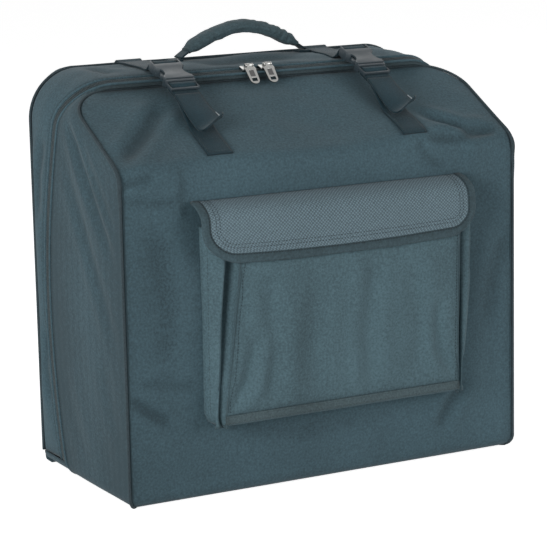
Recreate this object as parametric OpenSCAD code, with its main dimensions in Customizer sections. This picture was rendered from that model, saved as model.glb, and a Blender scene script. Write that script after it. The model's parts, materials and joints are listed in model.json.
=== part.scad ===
// Soft case for a large piano accordion.
// A padded front shell with a sloping upper face is closed by a padded lid at the back.
// The lid hangs on its sewn lower edge, at the back of the base, and a zip with two
// sliders joins it to the shell. Two webbing straps with side-release clips cross the zip.
// Frame: X across the front, +Y to the back, +Z up. The origin is at the middle of the base.
// All sizes are in millimetres.

/* [Case] */
// Width of the case
case_w = 480; // [400:5:560]
// Depth of the case without its pocket
case_d = 236; // [200:2:290]
// Height of the lid's top edge
case_h = 443; // [390:1:520]
// Height of the upright part of the front, up to the fold
front_h = 356; // [290:1:400]
// Distance of the slope's upper edge behind the middle of the case
crest_y = 16; // [0:1:30]
// How far the slope's upper edge lies below the top of the case
crest_drop = 16; // [12:1:24]
// Radius of the two upper corners
top_r = 55; // [35:1:80]
// Radius of the two lower corners
bottom_r = 12; // [11:1:20]

/* [Walls] */
// Thickness of the woven outer cover
cover_t = 1.6; // [1:0.1:2.5]
// Thickness of the foam in the walls
foam_t = 7; // [5:0.5:8]
// Thickness of the stiff board in the base
board_t = 2; // [1:0.5:3]
// Thickness of the lining
lining_t = 1.2; // [0.6:0.1:1.6]
// Width of the piping that edges the front and the back
piping_w = 3; // [2:0.5:4]

/* [Zip] */
// Distance of the zip from the back at its lower end
zip_foot = 54; // [40:1:70]
// Distance of the zip from the back at its rearmost place
zip_waist = 33; // [28:1:50]
// Height of that rearmost place
zip_waist_z = 170; // [130:5:210]
// Width of the band between the two covers, which the zip fills
zip_band = 12.2; // [11:0.1:16]
// Width of one row of teeth
tooth_w = 2.6; // [2:0.1:3.2]
// Length of a slider
slider_l = 17; // [10:0.5:17]
// Place of the left slider along the zip, measured from the middle
slider_left_x = -19; // [-40:1:-16]
// Place of the right slider along the zip, measured from the middle
slider_right_x = 4; // [1:1:24]
// Length of a pull tab, from its eye to its tip
pull_l = 26; // [20:1:30]
// Width of a pull tab
pull_w = 13; // [9:0.5:14]

/* [Straps and clips] */
// Gap between a strap and the sewn tab of the handle beside it
strap_gap = 0.6; // [0.4:0.1:20]
// Width of the webbing
strap_w = 30; // [20:1:40]
// Thickness of the webbing
strap_t = 1.6; // [1.2:0.1:1.8]
// Angle of the clips below level
clip_tilt = 22; // [18:1:26]
// Length of the socket half of a clip
socket_l = 42; // [38:1:46]
// Thickness of the socket half of a clip
socket_t = 11; // [9.5:0.5:12]

/* [Pocket] */
// Width of the pocket at its seam
pocket_w = 314; // [240:1:360]
// Depth of the pocket
pocket_d = 27.6; // [16:0.2:36]
// Height of the pocket's lower seam above the base
pocket_z = 80; // [50:1:110]
// Height of the pocket's upper edge above the base
pocket_top = 296; // [240:1:310]
// Offset of the pocket from the middle of the case
pocket_x = 4; // [-20:1:20]
// Height of the seam that holds the flap
flap_z = 324; // [322:1:340]
// Height of the flap's lower edge
flap_low = 256; // [200:1:270]
// Width of the flap
flap_w = 330; // [250:1:380]
// Width of the tape that binds the flap's edge
binding_w = 9; // [6:0.5:12]

/* [Handle] */
// Distance between the sewn ends of the handle
handle_span = 156; // [120:1:200]
// Height of the middle of the grip above the lid
handle_rise = 31; // [28:1:50]
// Offset of the handle from the middle of the case
handle_x = 14; // [-10:1:20]
// Distance of the handle from the back of the case
handle_in = 14; // [13:1:30]
// Thickness of the padded grip
grip_t = 14; // [10:1:16]
// Width of the padded grip
grip_w = 24; // [16:1:26]

/* [Hidden] */
$fn = 64;
LEFT = -1;
RIGHT = 1;
// Clearance between soft pieces on different bodies
slack = 0.3;
// Margin by which a cutting shape runs past what it cuts
past = 50;

// Clearance between the foam and the lining
layer_fit = 0.05;

// Depths of the wall's layers below the outer surface
foam_in = cover_t + foam_t;
skin_in = foam_in + lining_t;
front_y = -case_d / 2;
back_y = case_d / 2;
// Where the base's cover ends and the sewn hinge of the lid begins
hinge_l = 4.8;
base_back = back_y - hinge_l;

// Corners of the side view, as [y, z]
foot = [front_y, 0];
fold = [front_y, front_h];
crest = [crest_y, case_h - crest_drop];
// The band that the zip fills starts a step above the crest and leans
crest_step = [-2, 7.5];
band_lean = 19.18;
band_low = crest + crest_step;
band_dir = [cos(band_lean), sin(band_lean)];
band_out = [-band_dir.y, band_dir.x];
band_mid = band_low + zip_band / 2 * band_dir;
band_high = band_low + zip_band * band_dir;
back_top = [back_y, case_h];
back_foot = [back_y, 0];
// Radius of the piping along the slope's upper edge
crest_bar_r = piping_w - 0.8;
side_view = [foot, fold, crest, band_low, band_high, back_top, back_foot];
front_line = [foot, fold, crest];
top_line = [band_high, back_top];
slope_dir = unit(crest - fold);
// The front's sheets stop short of the piping along the crest
sheet_line = [foot, fold, crest - piping_w * slope_dir];
// Where the slope and the top meet when the step between them is left out
top_dir = unit(back_top - band_high);
ridge = crest + slope_dir * cross2(band_high - crest, top_dir) / cross2(slope_dir, top_dir);
plain_view = [foot, fold, ridge, back_top, back_foot];

// How far the linings and the foam stay away from the zip's middle and from its band
lining_lap = 1;
foam_lap = 1;

// Clearance between the two halves of the zip, and room for a slider's post between them
row_gap = 0.8;
tape_top = 0.6;
tooth_h = 2.2;

// The zip's centre line in the side view: up from the base, back, then forward to the crest
zip_waist_p = [back_y - zip_waist, zip_waist_z];
zip_foot_p = [back_y - zip_foot, 0];
zip_low_steps = 5;
zip_high_steps = 8;
low_pull = [0, zip_waist_z / 3];
waist_pull = [0, 0.476 * (crest.y - zip_waist_z)];
crest_pull = 52;
zip_low = [for (i = [0:zip_low_steps - 1])
    bezier([zip_foot_p, zip_foot_p + low_pull, zip_waist_p - low_pull, zip_waist_p],
           i / zip_low_steps)];
zip_high = [for (i = [0:zip_high_steps])
    bezier([zip_waist_p, zip_waist_p + waist_pull, band_mid - crest_pull * band_out, band_mid],
           i / zip_high_steps)];
zip_line = concat([zip_foot_p - [0, past]], zip_low, zip_high, [band_mid + past * band_out]);

// The clips: their own frame has its origin at the socket's mouth and -Y towards the front
clip_in = 105;
clip_drop = 9.5;
clip_at = [front_y + clip_in, case_h - clip_drop];
// How much wider a slot is than its webbing, on each side
web_fit = 0.4;
socket_w = strap_w + 4;
frame_l = 16.6;
rail_t = 1.5;
bar_h = 1.3;
// Bars and slots of the clip's frame, measured from the socket's mouth
block_l = 4;
inner_slot = 3.4;
inner_bar = 2.3;
outer_slot = 4.2;
strap_low_z = -5.6;
strap_high_z = -3;
strap_join = 22.3;
// Distance of the lower strap's sewn end from the fold, along the slope, and its sewn length
strap_foot = 14;
strap_sewn = 24;

// Pocket: its face, how far its folds stand in from the seams, and the run of the flap over it
pocket_face = front_y - pocket_d;
fold_x = 15;
fold_z = 8;
hem_h = 4;
hem_t = 3.6;
patch_t = 1.3;
patch_w = 120;
patch_h = 25;
flap_t = 2.4;
flap_seat = 0.5;
flap_shoulder = [9, 11];
flap_bend = 8.5;
flap_face = pocket_face - 2 * patch_t - slack - flap_t / 2;
flap_line = [
    [front_y - flap_seat - flap_t / 2, flap_z - flap_t / 2],
    [flap_face, pocket_top + flap_bend] + flap_shoulder,
    [flap_face, pocket_top + flap_bend],
    [flap_face, flap_low]
];
flap_corner = 24;

// Handle: its run over the lid in the front view, as [x, z]
handle_y = back_y - handle_in;
handle_foot_z = case_h + 2.8;
handle_curve = 1.8;
handle_steps = 12;
webbing_w = grip_w - 5;
// Share of the handle's span that the grip covers
grip_end = 0.74;
tab_l = 11.4;
tab_t = 1.6;
tab_lap = 3;
// Distance of each strap from the middle of the case, just outside the handle's tabs
strap_x = handle_x + handle_span / 2 + tab_l + strap_gap + strap_w / 2;
function handle_point(s) =
    [handle_x + s * handle_span / 2, handle_foot_z + handle_rise * (1 - pow(abs(s), handle_curve))];

function unit(v) = v / norm(v);
function left_of(v) = [-v.y, v.x];
function cross2(a, b) = a.x * b.y - a.y * b.x;
function bezier(p, t) =
    pow(1 - t, 3) * p[0] + 3 * t * pow(1 - t, 2) * p[1]
    + 3 * t * t * (1 - t) * p[2] + pow(t, 3) * p[3];
function backwards(points) = [for (i = [len(points) - 1:-1:0]) points[i]];
// The direction from a corner of an open line to its offset copy, a unit distance away
function mitre(p, i) =
    let (a = left_of(unit(p[max(i, 1)] - p[max(i, 1) - 1])),
         b = left_of(unit(p[min(i, len(p) - 2) + 1] - p[min(i, len(p) - 2)])))
    (a + b) / (1 + a * b);
// An open line moved sideways, positive to its left
function rail(p, d) = [for (i = [0:len(p) - 1]) p[i] + d * mitre(p, i)];
// A band along an open line, between two distances to its left
function strip(p, a, b) = concat(rail(p, a), backwards(rail(p, b)));
// A closed outline that runs clockwise, moved inwards
function inset(p, d) =
    [for (i = [0:len(p) - 1])
        let (n = len(p),
             a = left_of(unit(p[i] - p[(i + n - 1) % n])),
             b = left_of(unit(p[(i + 1) % n] - p[i])))
        p[i] - d * (a + b) / (1 + a * b)];

// Sweeps a front view along Y, or a side view along X
module along_y(y0, y1) {
    translate([0, y1, 0]) rotate([90, 0, 0]) linear_extrude(y1 - y0) children();
}
module along_x(x0, x1) {
    translate([x0, 0, 0]) rotate([90, 0, 90]) linear_extrude(x1 - x0) children();
}
module side_cut() {
    along_x(-case_w, case_w) children();
}
module front_cut() {
    along_y(-case_d, case_d) children();
}

// Front view of the case, moved inwards
module outline(d) {
    w = case_w / 2 - d;
    top = case_h - d;
    rt = top_r - d;
    rb = bottom_r - d;
    translate([-w, d + rb]) square([2 * w, top - rt - d - rb]);
    translate([-w + rt, d + rb]) square([2 * (w - rt), top - d - rb]);
    translate([-w + rb, d]) square([2 * (w - rb), bottom_r]);
    for (s = [LEFT, RIGHT]) {
        translate([s * (w - rt), top - rt]) circle(rt);
        translate([s * (w - rb), d + rb]) circle(rb);
    }
}
module ring(a, b) {
    difference() {
        outline(a);
        outline(b);
    }
}
// Side view of all that lies in front of the zip, or behind it, by some distance
module before_zip(d) {
    polygon(concat(rail(zip_line, d), [[-case_d, case_h + past], [-case_d, -past]]));
}
module behind_zip(d) {
    polygon(concat(rail(zip_line, -d), [[case_d, case_h + past], [case_d, -past]]));
}
module above(z) {
    translate([-case_w, z]) square([2 * case_w, case_h]);
}
module below(z) {
    translate([-case_w, z - case_h]) square([2 * case_w, case_h]);
}
module half(side) {
    translate([side > 0 ? 0 : -case_w, -past]) square([case_w, 2 * case_h]);
}

// Front shell: outer cover
module front_cover() {
    color("darkslategray") intersection() {
        side_cut() intersection() {
            polygon(strip(sheet_line, 0, -cover_t));
            above(piping_w);
        }
        front_cut() outline(piping_w);
    }
}
module gusset_cover() {
    step = unit(band_low - crest);
    lip = crest + crest_bar_r * step;
    inner_front = rail(front_line, -piping_w);
    face = rail([lip, band_low + past * step], -cover_t);
    far = 2 * case_d;
    zip_edge = rail(zip_line, zip_band / 2);
    profile = concat([[front_y + piping_w, -past], inner_front[1], inner_front[2], lip, band_low],
                     [for (i = [len(zip_edge) - 3:-1:0]) zip_edge[i]]);
    below_lip = [[-far, -past], [-far, face[0].y], face[0], face[1], [far, face[1].y], [far, -past]];
    color("darkslategray") difference() {
        intersection() {
            front_cut() outline(0);
            side_cut() intersection() {
                polygon(profile);
                above(bottom_r);
            }
        }
        intersection() {
            front_cut() outline(cover_t);
            side_cut() polygon(below_lip);
        }
    }
}
module base_cover() {
    color("darkslategray")
        along_y(front_y + piping_w, base_back) intersection() {
            ring(0, cover_t);
            below(bottom_r);
        }
}

// Front shell: padding, board and lining
module foam_strip(i) {
    outer = rail(sheet_line, -cover_t);
    inner = rail(sheet_line, -foam_in);
    intersection() {
        side_cut() intersection() {
            polygon([outer[i], outer[i + 1], inner[i + 1], inner[i]]);
            above(foam_in);
        }
        front_cut() outline(piping_w);
    }
}
module front_foam() {
    color("dimgray") foam_strip(0);
}
module slope_foam() {
    color("dimgray") foam_strip(1);
}
module side_foam(side) {
    color("dimgray") intersection() {
        front_cut() intersection() {
            ring(cover_t, foam_in);
            half(side);
            above(foam_in);
        }
        side_cut() intersection() {
            polygon(inset(plain_view, foam_in));
            before_zip(zip_band / 2 + foam_lap);
        }
    }
}
module base_layer(z0, z1) {
    edge = cover_t + piping_w;
    intersection() {
        front_cut() intersection() {
            outline(cover_t);
            above(z0);
            below(z1);
        }
        along_x(-case_w, case_w)
            translate([front_y + edge, 0]) square([case_d - 2 * edge, case_h]);
    }
}
module base_foam() {
    color("dimgray") base_layer(cover_t, foam_in - board_t);
}
module base_board() {
    color("black") base_layer(foam_in - board_t, foam_in);
}
module inner_skin() {
    outer = foam_in + layer_fit;
    difference() {
        intersection() {
            side_cut() polygon(inset(plain_view, outer));
            front_cut() outline(outer);
        }
        intersection() {
            side_cut() polygon(inset(plain_view, skin_in));
            front_cut() outline(skin_in);
        }
    }
}
module main_lining() {
    color("gray") intersection() {
        inner_skin();
        side_cut() intersection() {
            union() {
                before_zip(lining_lap);
                below(skin_in);
            }
            translate([-case_d, -past]) square([case_d + back_y - foam_in - slack, 2 * case_h]);
        }
    }
}

// Piping round the front panel and its slope
module front_piping() {
    proud = 1;
    color("black") {
        intersection() {
            front_cut() intersection() {
                ring(-proud, piping_w);
                above(0);
            }
            side_cut() polygon(strip(front_line, proud, -piping_w));
        }
        intersection() {
            side_cut() translate(crest) circle(crest_bar_r);
            front_cut() outline(cover_t);
        }
    }
}

// Zip: the two tapes fill the band, and a row of teeth stands on the edge of each
module zip_strip(near, far, low, high) {
    band_line = [band_low - past * band_dir, band_high + past * band_dir];
    intersection() {
        union() {
            intersection() {
                front_cut() ring(-high, low);
                side_cut() polygon(inset(side_view, -high));
            }
            intersection() {
                front_cut() outline(-high);
                side_cut() polygon(strip(band_line, high, -low));
            }
        }
        side_cut() intersection() {
            polygon(strip(zip_line, near, far));
            above(bottom_r + slack);
        }
    }
}
module zip_tape_main() {
    color("black") zip_strip(row_gap, zip_band / 2, cover_t, -tape_top);
}
module zip_tape_lid() {
    color("black") zip_strip(-zip_band / 2, -row_gap, cover_t, -tape_top);
}
module zip_teeth_main() {
    color("black") zip_strip(row_gap, row_gap + tooth_w, tape_top, tooth_h - tape_top);
}
module zip_teeth_lid() {
    color("black") zip_strip(-row_gap - tooth_w, -row_gap, tape_top, tooth_h - tape_top);
}

// Zip sliders and their pulls. A slider's own frame lies on the band, with +Z outwards.
slider_gap = 0.3;
plate_t = 1.2;
plate_w = 8.8;
post_w = 0.8;
ear_x = 3.4;
ear_t = 1.6;
ear_r = 2;
pin_r = 1;
pin_fit = 0.1;
eye_r = 2.2;
eye_at = [-1.5, 6.2];
tab_rest = 47;
eye_world = band_mid + eye_at.x * band_dir + eye_at.y * band_out;
module on_band(x) {
    translate([x, band_mid.x, band_mid.y]) rotate([band_lean, 0, 0]) children();
}
module box_between(a, b) {
    translate(a) cube(b - a);
}
module rod_x(x0, x1, r) {
    translate([x0, 0, 0]) rotate([0, 90, 0]) cylinder(h = x1 - x0, r = r);
}
module zip_slider(x) {
    teeth_top = tooth_h - tape_top;
    under = cover_t + slider_gap;
    over = teeth_top + slider_gap;
    half_l = slider_l / 2;
    teeth_y = row_gap + tooth_w + slider_gap;
    color("silver") on_band(x) {
        box_between([-half_l, -plate_w / 2, over], [half_l, plate_w / 2, over + plate_t]);
        box_between([-half_l, -plate_w / 2, -under - plate_t], [half_l, plate_w / 2, -under]);
        box_between([-slider_l / 6, -post_w / 2, -under - plate_t], [slider_l / 6, post_w / 2, over]);
        for (s = [LEFT, RIGHT]) {
            translate([0, s * (teeth_y + plate_w / 2) / 2, (over - slider_gap) / 2])
                cube([slider_l, plate_w / 2 - teeth_y, over + slider_gap], center = true);
            translate([s * (ear_x + ear_t / 2), 0, 0]) {
                translate([0, eye_at.x, eye_at.y]) rod_x(-ear_t / 2, ear_t / 2, ear_r);
                box_between([-ear_t / 2, eye_at.x - ear_r, over], [ear_t / 2, eye_at.x + ear_r, eye_at.y]);
            }
        }
        translate([0, eye_at.x, eye_at.y]) rod_x(-ear_x, ear_x, pin_r);
    }
}
module zip_pull(x) {
    sheet_t = 1.6;
    tip_r = pull_w / 2 - 0.8;
    eye_l = 2 * (ear_x - slider_gap);
    shoulder = ear_r + 1;
    hole_w = pull_w / 2;
    hole = [3.4, 7.8];
    recess = [10, pull_l - 7];
    recess_d = 0.35;
    color("silver") translate([x, eye_world.x, eye_world.y]) rotate([tab_rest, 0, 0]) difference() {
        union() {
            rod_x(-eye_l / 2, eye_l / 2, eye_r);
            translate([0, 0, -sheet_t / 2]) linear_extrude(sheet_t) {
                translate([-eye_l / 2, -shoulder - 1]) square([eye_l, shoulder]);
                polygon([[-pull_w / 2, -shoulder - 2], [-eye_l / 2, -shoulder], [eye_l / 2, -shoulder],
                         [pull_w / 2, -shoulder - 2], [tip_r, tip_r - pull_l], [-tip_r, tip_r - pull_l]]);
                translate([0, tip_r - pull_l]) circle(tip_r);
            }
        }
        rod_x(-past, past, pin_r + pin_fit);
        box_between([-hole_w / 2, hole[0] - pull_l, -past], [hole_w / 2, hole[1] - pull_l, past]);
        box_between([-hole_w / 2, recess[0] - pull_l, sheet_t / 2 - recess_d],
                    [hole_w / 2, recess[1] - pull_l, past]);
    }
}

// Clips: the socket rides on the lid and the frame with its prongs on the lower strap
function clip_world(p) =
    clip_at + [p.x * cos(clip_tilt) - p.y * sin(clip_tilt), p.x * sin(clip_tilt) + p.y * cos(clip_tilt)];
module at_clip(side) {
    translate([side * strap_x, clip_at.x, clip_at.y]) rotate([clip_tilt, 0, 0]) children();
}
module at_strap(side) {
    along_x(side * strap_x - strap_w / 2, side * strap_x + strap_w / 2) children();
}
module clip_socket(side) {
    waist_r = 13;
    waist_y = 16;
    waist_w = 23;
    cavity_w = 26;
    cavity_t = 6.4;
    cavity_l = 30;
    rear_bar = 3.4;
    rear_slot = 5;
    color("dimgray") at_clip(side) difference() {
        translate([0, 0, -socket_t / 2]) linear_extrude(socket_t) difference() {
            translate([-socket_w / 2, 0]) square([socket_w, socket_l]);
            for (s = [LEFT, RIGHT])
                translate([s * (waist_w / 2 + waist_r), waist_y]) circle(waist_r);
            translate([-strap_w / 2 - web_fit, socket_l - rear_bar - rear_slot])
                square([strap_w + 2 * web_fit, rear_slot]);
        }
        box_between([-cavity_w / 2, -1, -cavity_t / 2], [cavity_w / 2, cavity_l, cavity_t / 2]);
        for (s = [LEFT, RIGHT])
            translate([0, socket_l - rear_bar / 2, s * (socket_t / 2 + bar_h)])
                cube([strap_w + 2 * web_fit, rear_bar + 1, socket_t], center = true);
    }
}
module clip_frame(side) {
    block_t = 8.8;
    rail_h = 4;
    tongue_w = 6;
    tongue_l = 18;
    tongue_t = 3.2;
    mouth = -slack;
    bar_y = -block_l - inner_slot - inner_bar;
    color("dimgray") at_clip(side) {
        box_between([-socket_w / 2, -block_l, -block_t / 2], [socket_w / 2, mouth, block_t / 2]);
        box_between([-tongue_w / 2, -block_l, -tongue_t / 2], [tongue_w / 2, tongue_l, tongue_t / 2]);
        for (s = [LEFT, RIGHT])
            translate([s * (socket_w / 2 - rail_t / 2), -(frame_l + block_l) / 2, 0])
                cube([rail_t, frame_l - block_l, rail_h], center = true);
        box_between([-socket_w / 2, bar_y, -bar_h], [socket_w / 2, bar_y + inner_bar, bar_h]);
        box_between([-socket_w / 2, -frame_l, -bar_h], [socket_w / 2, bar_y - outer_slot, bar_h]);
    }
}
module clip_prongs(side) {
    prong_t = 4.8;
    stem = [7.5, 10.5];
    barb = [[15.8, 11.2], [16.2, 14]];
    tip = [[12, 24], [9, 24]];
    half_view = concat([[stem[0], -slack], [stem[1], -slack], [stem[1], 9]], barb, tip);
    color("dimgray") at_clip(side)
        for (s = [LEFT, RIGHT])
            translate([0, 0, -prong_t / 2]) linear_extrude(prong_t)
                polygon([for (p = half_view) [s * p.x, p.y]]);
}

// Straps: the lower one is sewn to the slope and threads the frame, the upper one is sewn to the lid
function on_slope(s, h) = fold + s * slope_dir + h * left_of(slope_dir);
function on_top(y, h) = band_high + (y - band_high.x) / top_dir.x * top_dir + h * left_of(top_dir);
module strap_lower(side) {
    leaves = on_slope(strap_foot + strap_sewn, strap_t / 2);
    join = clip_world([-strap_join, strap_low_z]);
    run = [on_slope(strap_foot, strap_t / 2), leaves, join - 2 * slack * unit(join - leaves)];
    color("black") at_strap(side) polygon(strip(run, strap_t / 2, -strap_t / 2));
}
module strap_bight(side) {
    slot_y = -block_l - 1.5;
    back_slot_y = -block_l - inner_slot - inner_bar - outer_slot / 2 - 0.2;
    over = bar_h + 1.3;
    run = [for (p = [[-strap_join, strap_low_z], [slot_y - 0.8, strap_low_z], [slot_y, strap_low_z + 0.9],
                     [slot_y, over - 1], [slot_y - 0.9, over], [back_slot_y + 1, over],
                     [back_slot_y, over - 1], [back_slot_y - 0.4, strap_high_z + 1.4],
                     [back_slot_y - 1.6, strap_high_z], [-strap_join, strap_high_z]])
        clip_world(p)];
    color("black") at_strap(side) polygon(strip(run, strap_t / 2, -strap_t / 2));
}
module strap_tail(side) {
    start = clip_world([-strap_join, strap_high_z]);
    run = [start, start + [-2, -1], start + [-24, -15.5], start + [-44, -28.5], start + [-58, -33]];
    color("black") at_strap(side) polygon(strip(run, strap_t / 2, -strap_t / 2));
}
module strap_upper(side) {
    rear_slot_y = socket_l - 5.8;
    bar_top = bar_h + 1.6;
    sewn = 58;
    hooked = [for (p = [[rear_slot_y, -2.6], [rear_slot_y, bar_top - 1.4], [rear_slot_y + 1.3, bar_top],
                        [socket_l - 0.6, bar_top], [socket_l + 1.6, bar_top - 2]])
        clip_world(p)];
    run = concat(hooked, [on_top(hooked[4].x + 20, strap_t / 2), on_top(back_y - 6, strap_t / 2),
                          [back_y - 0.4, case_h + 3.3], [back_y + 2.6, case_h + 0.6],
                          [back_y + 2, case_h - 5], [back_y + strap_t / 2, case_h - 24],
                          [back_y + strap_t / 2, case_h - sewn]]);
    color("black") at_strap(side) polygon(strip(run, strap_t / 2, -strap_t / 2));
}

// Bellows pocket on the front panel
module pocket_panel() {
    color("slategray") along_y(pocket_face, pocket_face + cover_t)
        translate([pocket_x - pocket_w / 2 + fold_x, pocket_z + fold_z])
            square([pocket_w - 2 * fold_x, pocket_top - pocket_z - fold_z]);
}
module pocket_gusset_side(side) {
    edge = pocket_x + side * (pocket_w / 2 - fold_x);
    seam = pocket_x + side * pocket_w / 2;
    color("slategray") translate([0, 0, pocket_z + fold_z])
        linear_extrude(pocket_top - pocket_z - fold_z)
            polygon([[seam, front_y], [edge, pocket_face + cover_t],
                     [edge - side * cover_t, pocket_face + cover_t], [seam - side * 2 * cover_t, front_y]]);
}
module pocket_gusset_bottom() {
    low = pocket_z + fold_z;
    reach = pocket_w / 2 - fold_x;
    color("slategray") along_x(pocket_x - reach, pocket_x + reach)
        polygon([[front_y, pocket_z], [pocket_face + cover_t, low - cover_t], [pocket_face, low - cover_t],
                 [pocket_face, low], [pocket_face + cover_t, low], [front_y, pocket_z + 1.2 * cover_t]]);
}
module pocket_hem() {
    color("slategray") along_y(pocket_face - hem_t / 2 + cover_t / 2, pocket_face + hem_t / 2 + cover_t / 2)
        translate([pocket_x - pocket_w / 2 + fold_x, pocket_top]) square([pocket_w - 2 * fold_x, hem_h]);
}
module pocket_loop_patch() {
    color("black") along_y(pocket_face - patch_t, pocket_face)
        translate([pocket_x - patch_w / 2, flap_low + binding_w]) square([patch_w, patch_h]);
}

// Flap: a bent sheet over the pocket's mouth, bound at its sides and lower edge
module flap_outline(d) {
    w = flap_w / 2 - d;
    r = flap_corner - d;
    low = flap_low + d;
    translate([pocket_x, 0]) {
        translate([-w, low + r]) square([2 * w, flap_z - low - r]);
        translate([r - w, low]) square([2 * (w - r), flap_z - low]);
        for (s = [LEFT, RIGHT]) translate([s * (w - r), low + r]) circle(r);
    }
}
module flap_panel() {
    color("slategray") intersection() {
        side_cut() polygon(strip(flap_line, flap_t / 2, -flap_t / 2));
        front_cut() flap_outline(binding_w);
    }
}
module flap_binding() {
    proud = 0.3;
    color("darkslategray") intersection() {
        side_cut() polygon(strip(flap_line, flap_t / 2 + proud, -flap_t / 2 - proud));
        front_cut() difference() {
            flap_outline(0);
            flap_outline(binding_w);
        }
    }
}
module flap_hook_patch() {
    face = flap_face + flap_t / 2;
    color("black") along_y(face, face + patch_t)
        translate([pocket_x - patch_w / 2, flap_low + binding_w + 1]) square([patch_w, patch_h - 4]);
}

// Lid
lid_foot = foam_in + slack;
piping_y = back_y - piping_w - 0.5;
piping_in = piping_w - 0.6;
piping_proud = 0.8;
module lid_back_cover() {
    color("darkslategray") along_y(back_y - cover_t, back_y) intersection() {
        outline(piping_in);
        above(lid_foot);
    }
}
module lid_band_cover() {
    color("darkslategray") difference() {
        intersection() {
            front_cut() outline(0);
            side_cut() intersection() {
                polygon(side_view);
                behind_zip(zip_band / 2);
                above(bottom_r + slack);
                translate([piping_y - case_d, 0]) square([case_d, 2 * case_h]);
            }
        }
        intersection() {
            front_cut() outline(cover_t);
            side_cut() difference() {
                square([2 * case_d, 2 * case_h + past], center = true);
                polygon(strip(top_line, past, -cover_t));
            }
        }
    }
}
module lid_back_foam() {
    color("dimgray") along_y(back_y - foam_in, back_y - cover_t) intersection() {
        outline(foam_in);
        above(lid_foot);
    }
}
module lid_side_foam(side) {
    color("dimgray") intersection() {
        front_cut() intersection() {
            ring(cover_t, foam_in);
            translate([side > 0 ? case_w / 2 - top_r : top_r - case_w / 2 - case_w, bottom_r + slack])
                square([case_w, 2 * case_h]);
        }
        side_cut() intersection() {
            polygon(inset(plain_view, cover_t));
            behind_zip(zip_band / 2 + foam_lap);
            square([back_y - foam_in, 2 * case_h]);
        }
    }
}
module lid_top_foam() {
    reach = case_w / 2 - top_r;
    color("dimgray") along_x(-reach, reach) intersection() {
        polygon(strip([band_high - past * top_dir, back_top + past * top_dir], -cover_t, -foam_in));
        behind_zip(zip_band / 2 + foam_lap);
        square([back_y - foam_in, 2 * case_h]);
    }
}
module lid_lining() {
    color("gray") intersection() {
        inner_skin();
        side_cut() intersection() {
            behind_zip(lining_lap);
            above(skin_in + slack);
        }
    }
}
module lid_piping() {
    color("black") along_y(piping_y, back_y + 0.6) intersection() {
        ring(-piping_proud, piping_in);
        above(bottom_r + slack);
    }
}
module hinge_strip() {
    bend = back_y - cover_t / 2;
    color("darkslategray") intersection() {
        side_cut() polygon(strip([[base_back, cover_t / 2], [bend, cover_t / 2], [bend, lid_foot]],
                                 cover_t / 2, -cover_t / 2));
        front_cut() outline(piping_in);
    }
}

// Handle: the webbing runs through the padded grip, and its ends are sewn to the lid's top
module handle_tabs() {
    edge = [on_top(handle_y - webbing_w / 2, 0), on_top(handle_y + webbing_w / 2, 0)];
    color("black")
        for (s = [LEFT, RIGHT]) {
            ends = [s * handle_span / 2 - s * tab_lap, s * handle_span / 2 + s * tab_l];
            along_x(handle_x + min(ends), handle_x + max(ends)) polygon(strip(edge, tab_t, 0));
        }
}
module handle_sweep(reach, w, t) {
    run = [for (i = [-handle_steps:handle_steps]) handle_point(reach * i / handle_steps)];
    along_y(handle_y - w / 2, handle_y + w / 2) polygon(strip(run, t / 2, -t / 2));
}
module handle_webbing() {
    color("black") handle_sweep(1, webbing_w, strap_t);
}
module handle_grip() {
    color("darkslategray") difference() {
        handle_sweep(grip_end, grip_w, grip_t);
        handle_sweep(1, webbing_w, strap_t);
    }
}

front_cover();
gusset_cover();
base_cover();
front_foam();
slope_foam();
side_foam(LEFT);  // side_foam_left
side_foam(RIGHT);  // side_foam_right
base_foam();
base_board();
main_lining();
front_piping();
zip_tape_main();
zip_teeth_main();
pocket_panel();
pocket_gusset_side(LEFT);  // pocket_gusset_left
pocket_gusset_side(RIGHT);  // pocket_gusset_right
pocket_gusset_bottom();
pocket_hem();
pocket_loop_patch();
flap_panel();
flap_binding();
flap_hook_patch();
lid_back_cover();
lid_band_cover();
lid_back_foam();
lid_side_foam(LEFT);  // lid_side_foam_left
lid_side_foam(RIGHT);  // lid_side_foam_right
lid_top_foam();
lid_lining();
lid_piping();
hinge_strip();
zip_tape_lid();
zip_teeth_lid();
zip_slider(slider_left_x);  // zip_slider_left
zip_slider(slider_right_x);  // zip_slider_right
zip_pull(slider_left_x);  // zip_pull_left
zip_pull(slider_right_x);  // zip_pull_right
strap_upper(LEFT);  // strap_upper_left
strap_upper(RIGHT);  // strap_upper_right
strap_lower(LEFT);  // strap_lower_left
strap_lower(RIGHT);  // strap_lower_right
strap_bight(LEFT);  // strap_bight_left
strap_bight(RIGHT);  // strap_bight_right
strap_tail(LEFT);  // strap_tail_left
strap_tail(RIGHT);  // strap_tail_right
clip_socket(LEFT);  // clip_socket_left
clip_socket(RIGHT);  // clip_socket_right
clip_frame(LEFT);  // clip_frame_left
clip_frame(RIGHT);  // clip_frame_right
clip_prongs(LEFT);  // clip_prongs_left
clip_prongs(RIGHT);  // clip_prongs_right
handle_tabs();
handle_webbing();
handle_grip();
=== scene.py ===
# %% [markdown]
# A soft case for a piano accordion stands on its base. Its front shell has an upright
# face that folds into a slope, a zip joins it to a shallow lid at the back, and two
# webbing straps with side-release clips cross the zip. The parts that move come from
# the CAD model, which stays as it is. This script gives them cloth, foam, cord, thread,
# metal and plastic. X runs across the front, +Y to the back, +Z up, all in metres.

# %% Load the frame
import json
import math

import bmesh
import bpy
from mathutils import Matrix, Vector, noise
from mathutils.bvhtree import BVHTree

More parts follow.
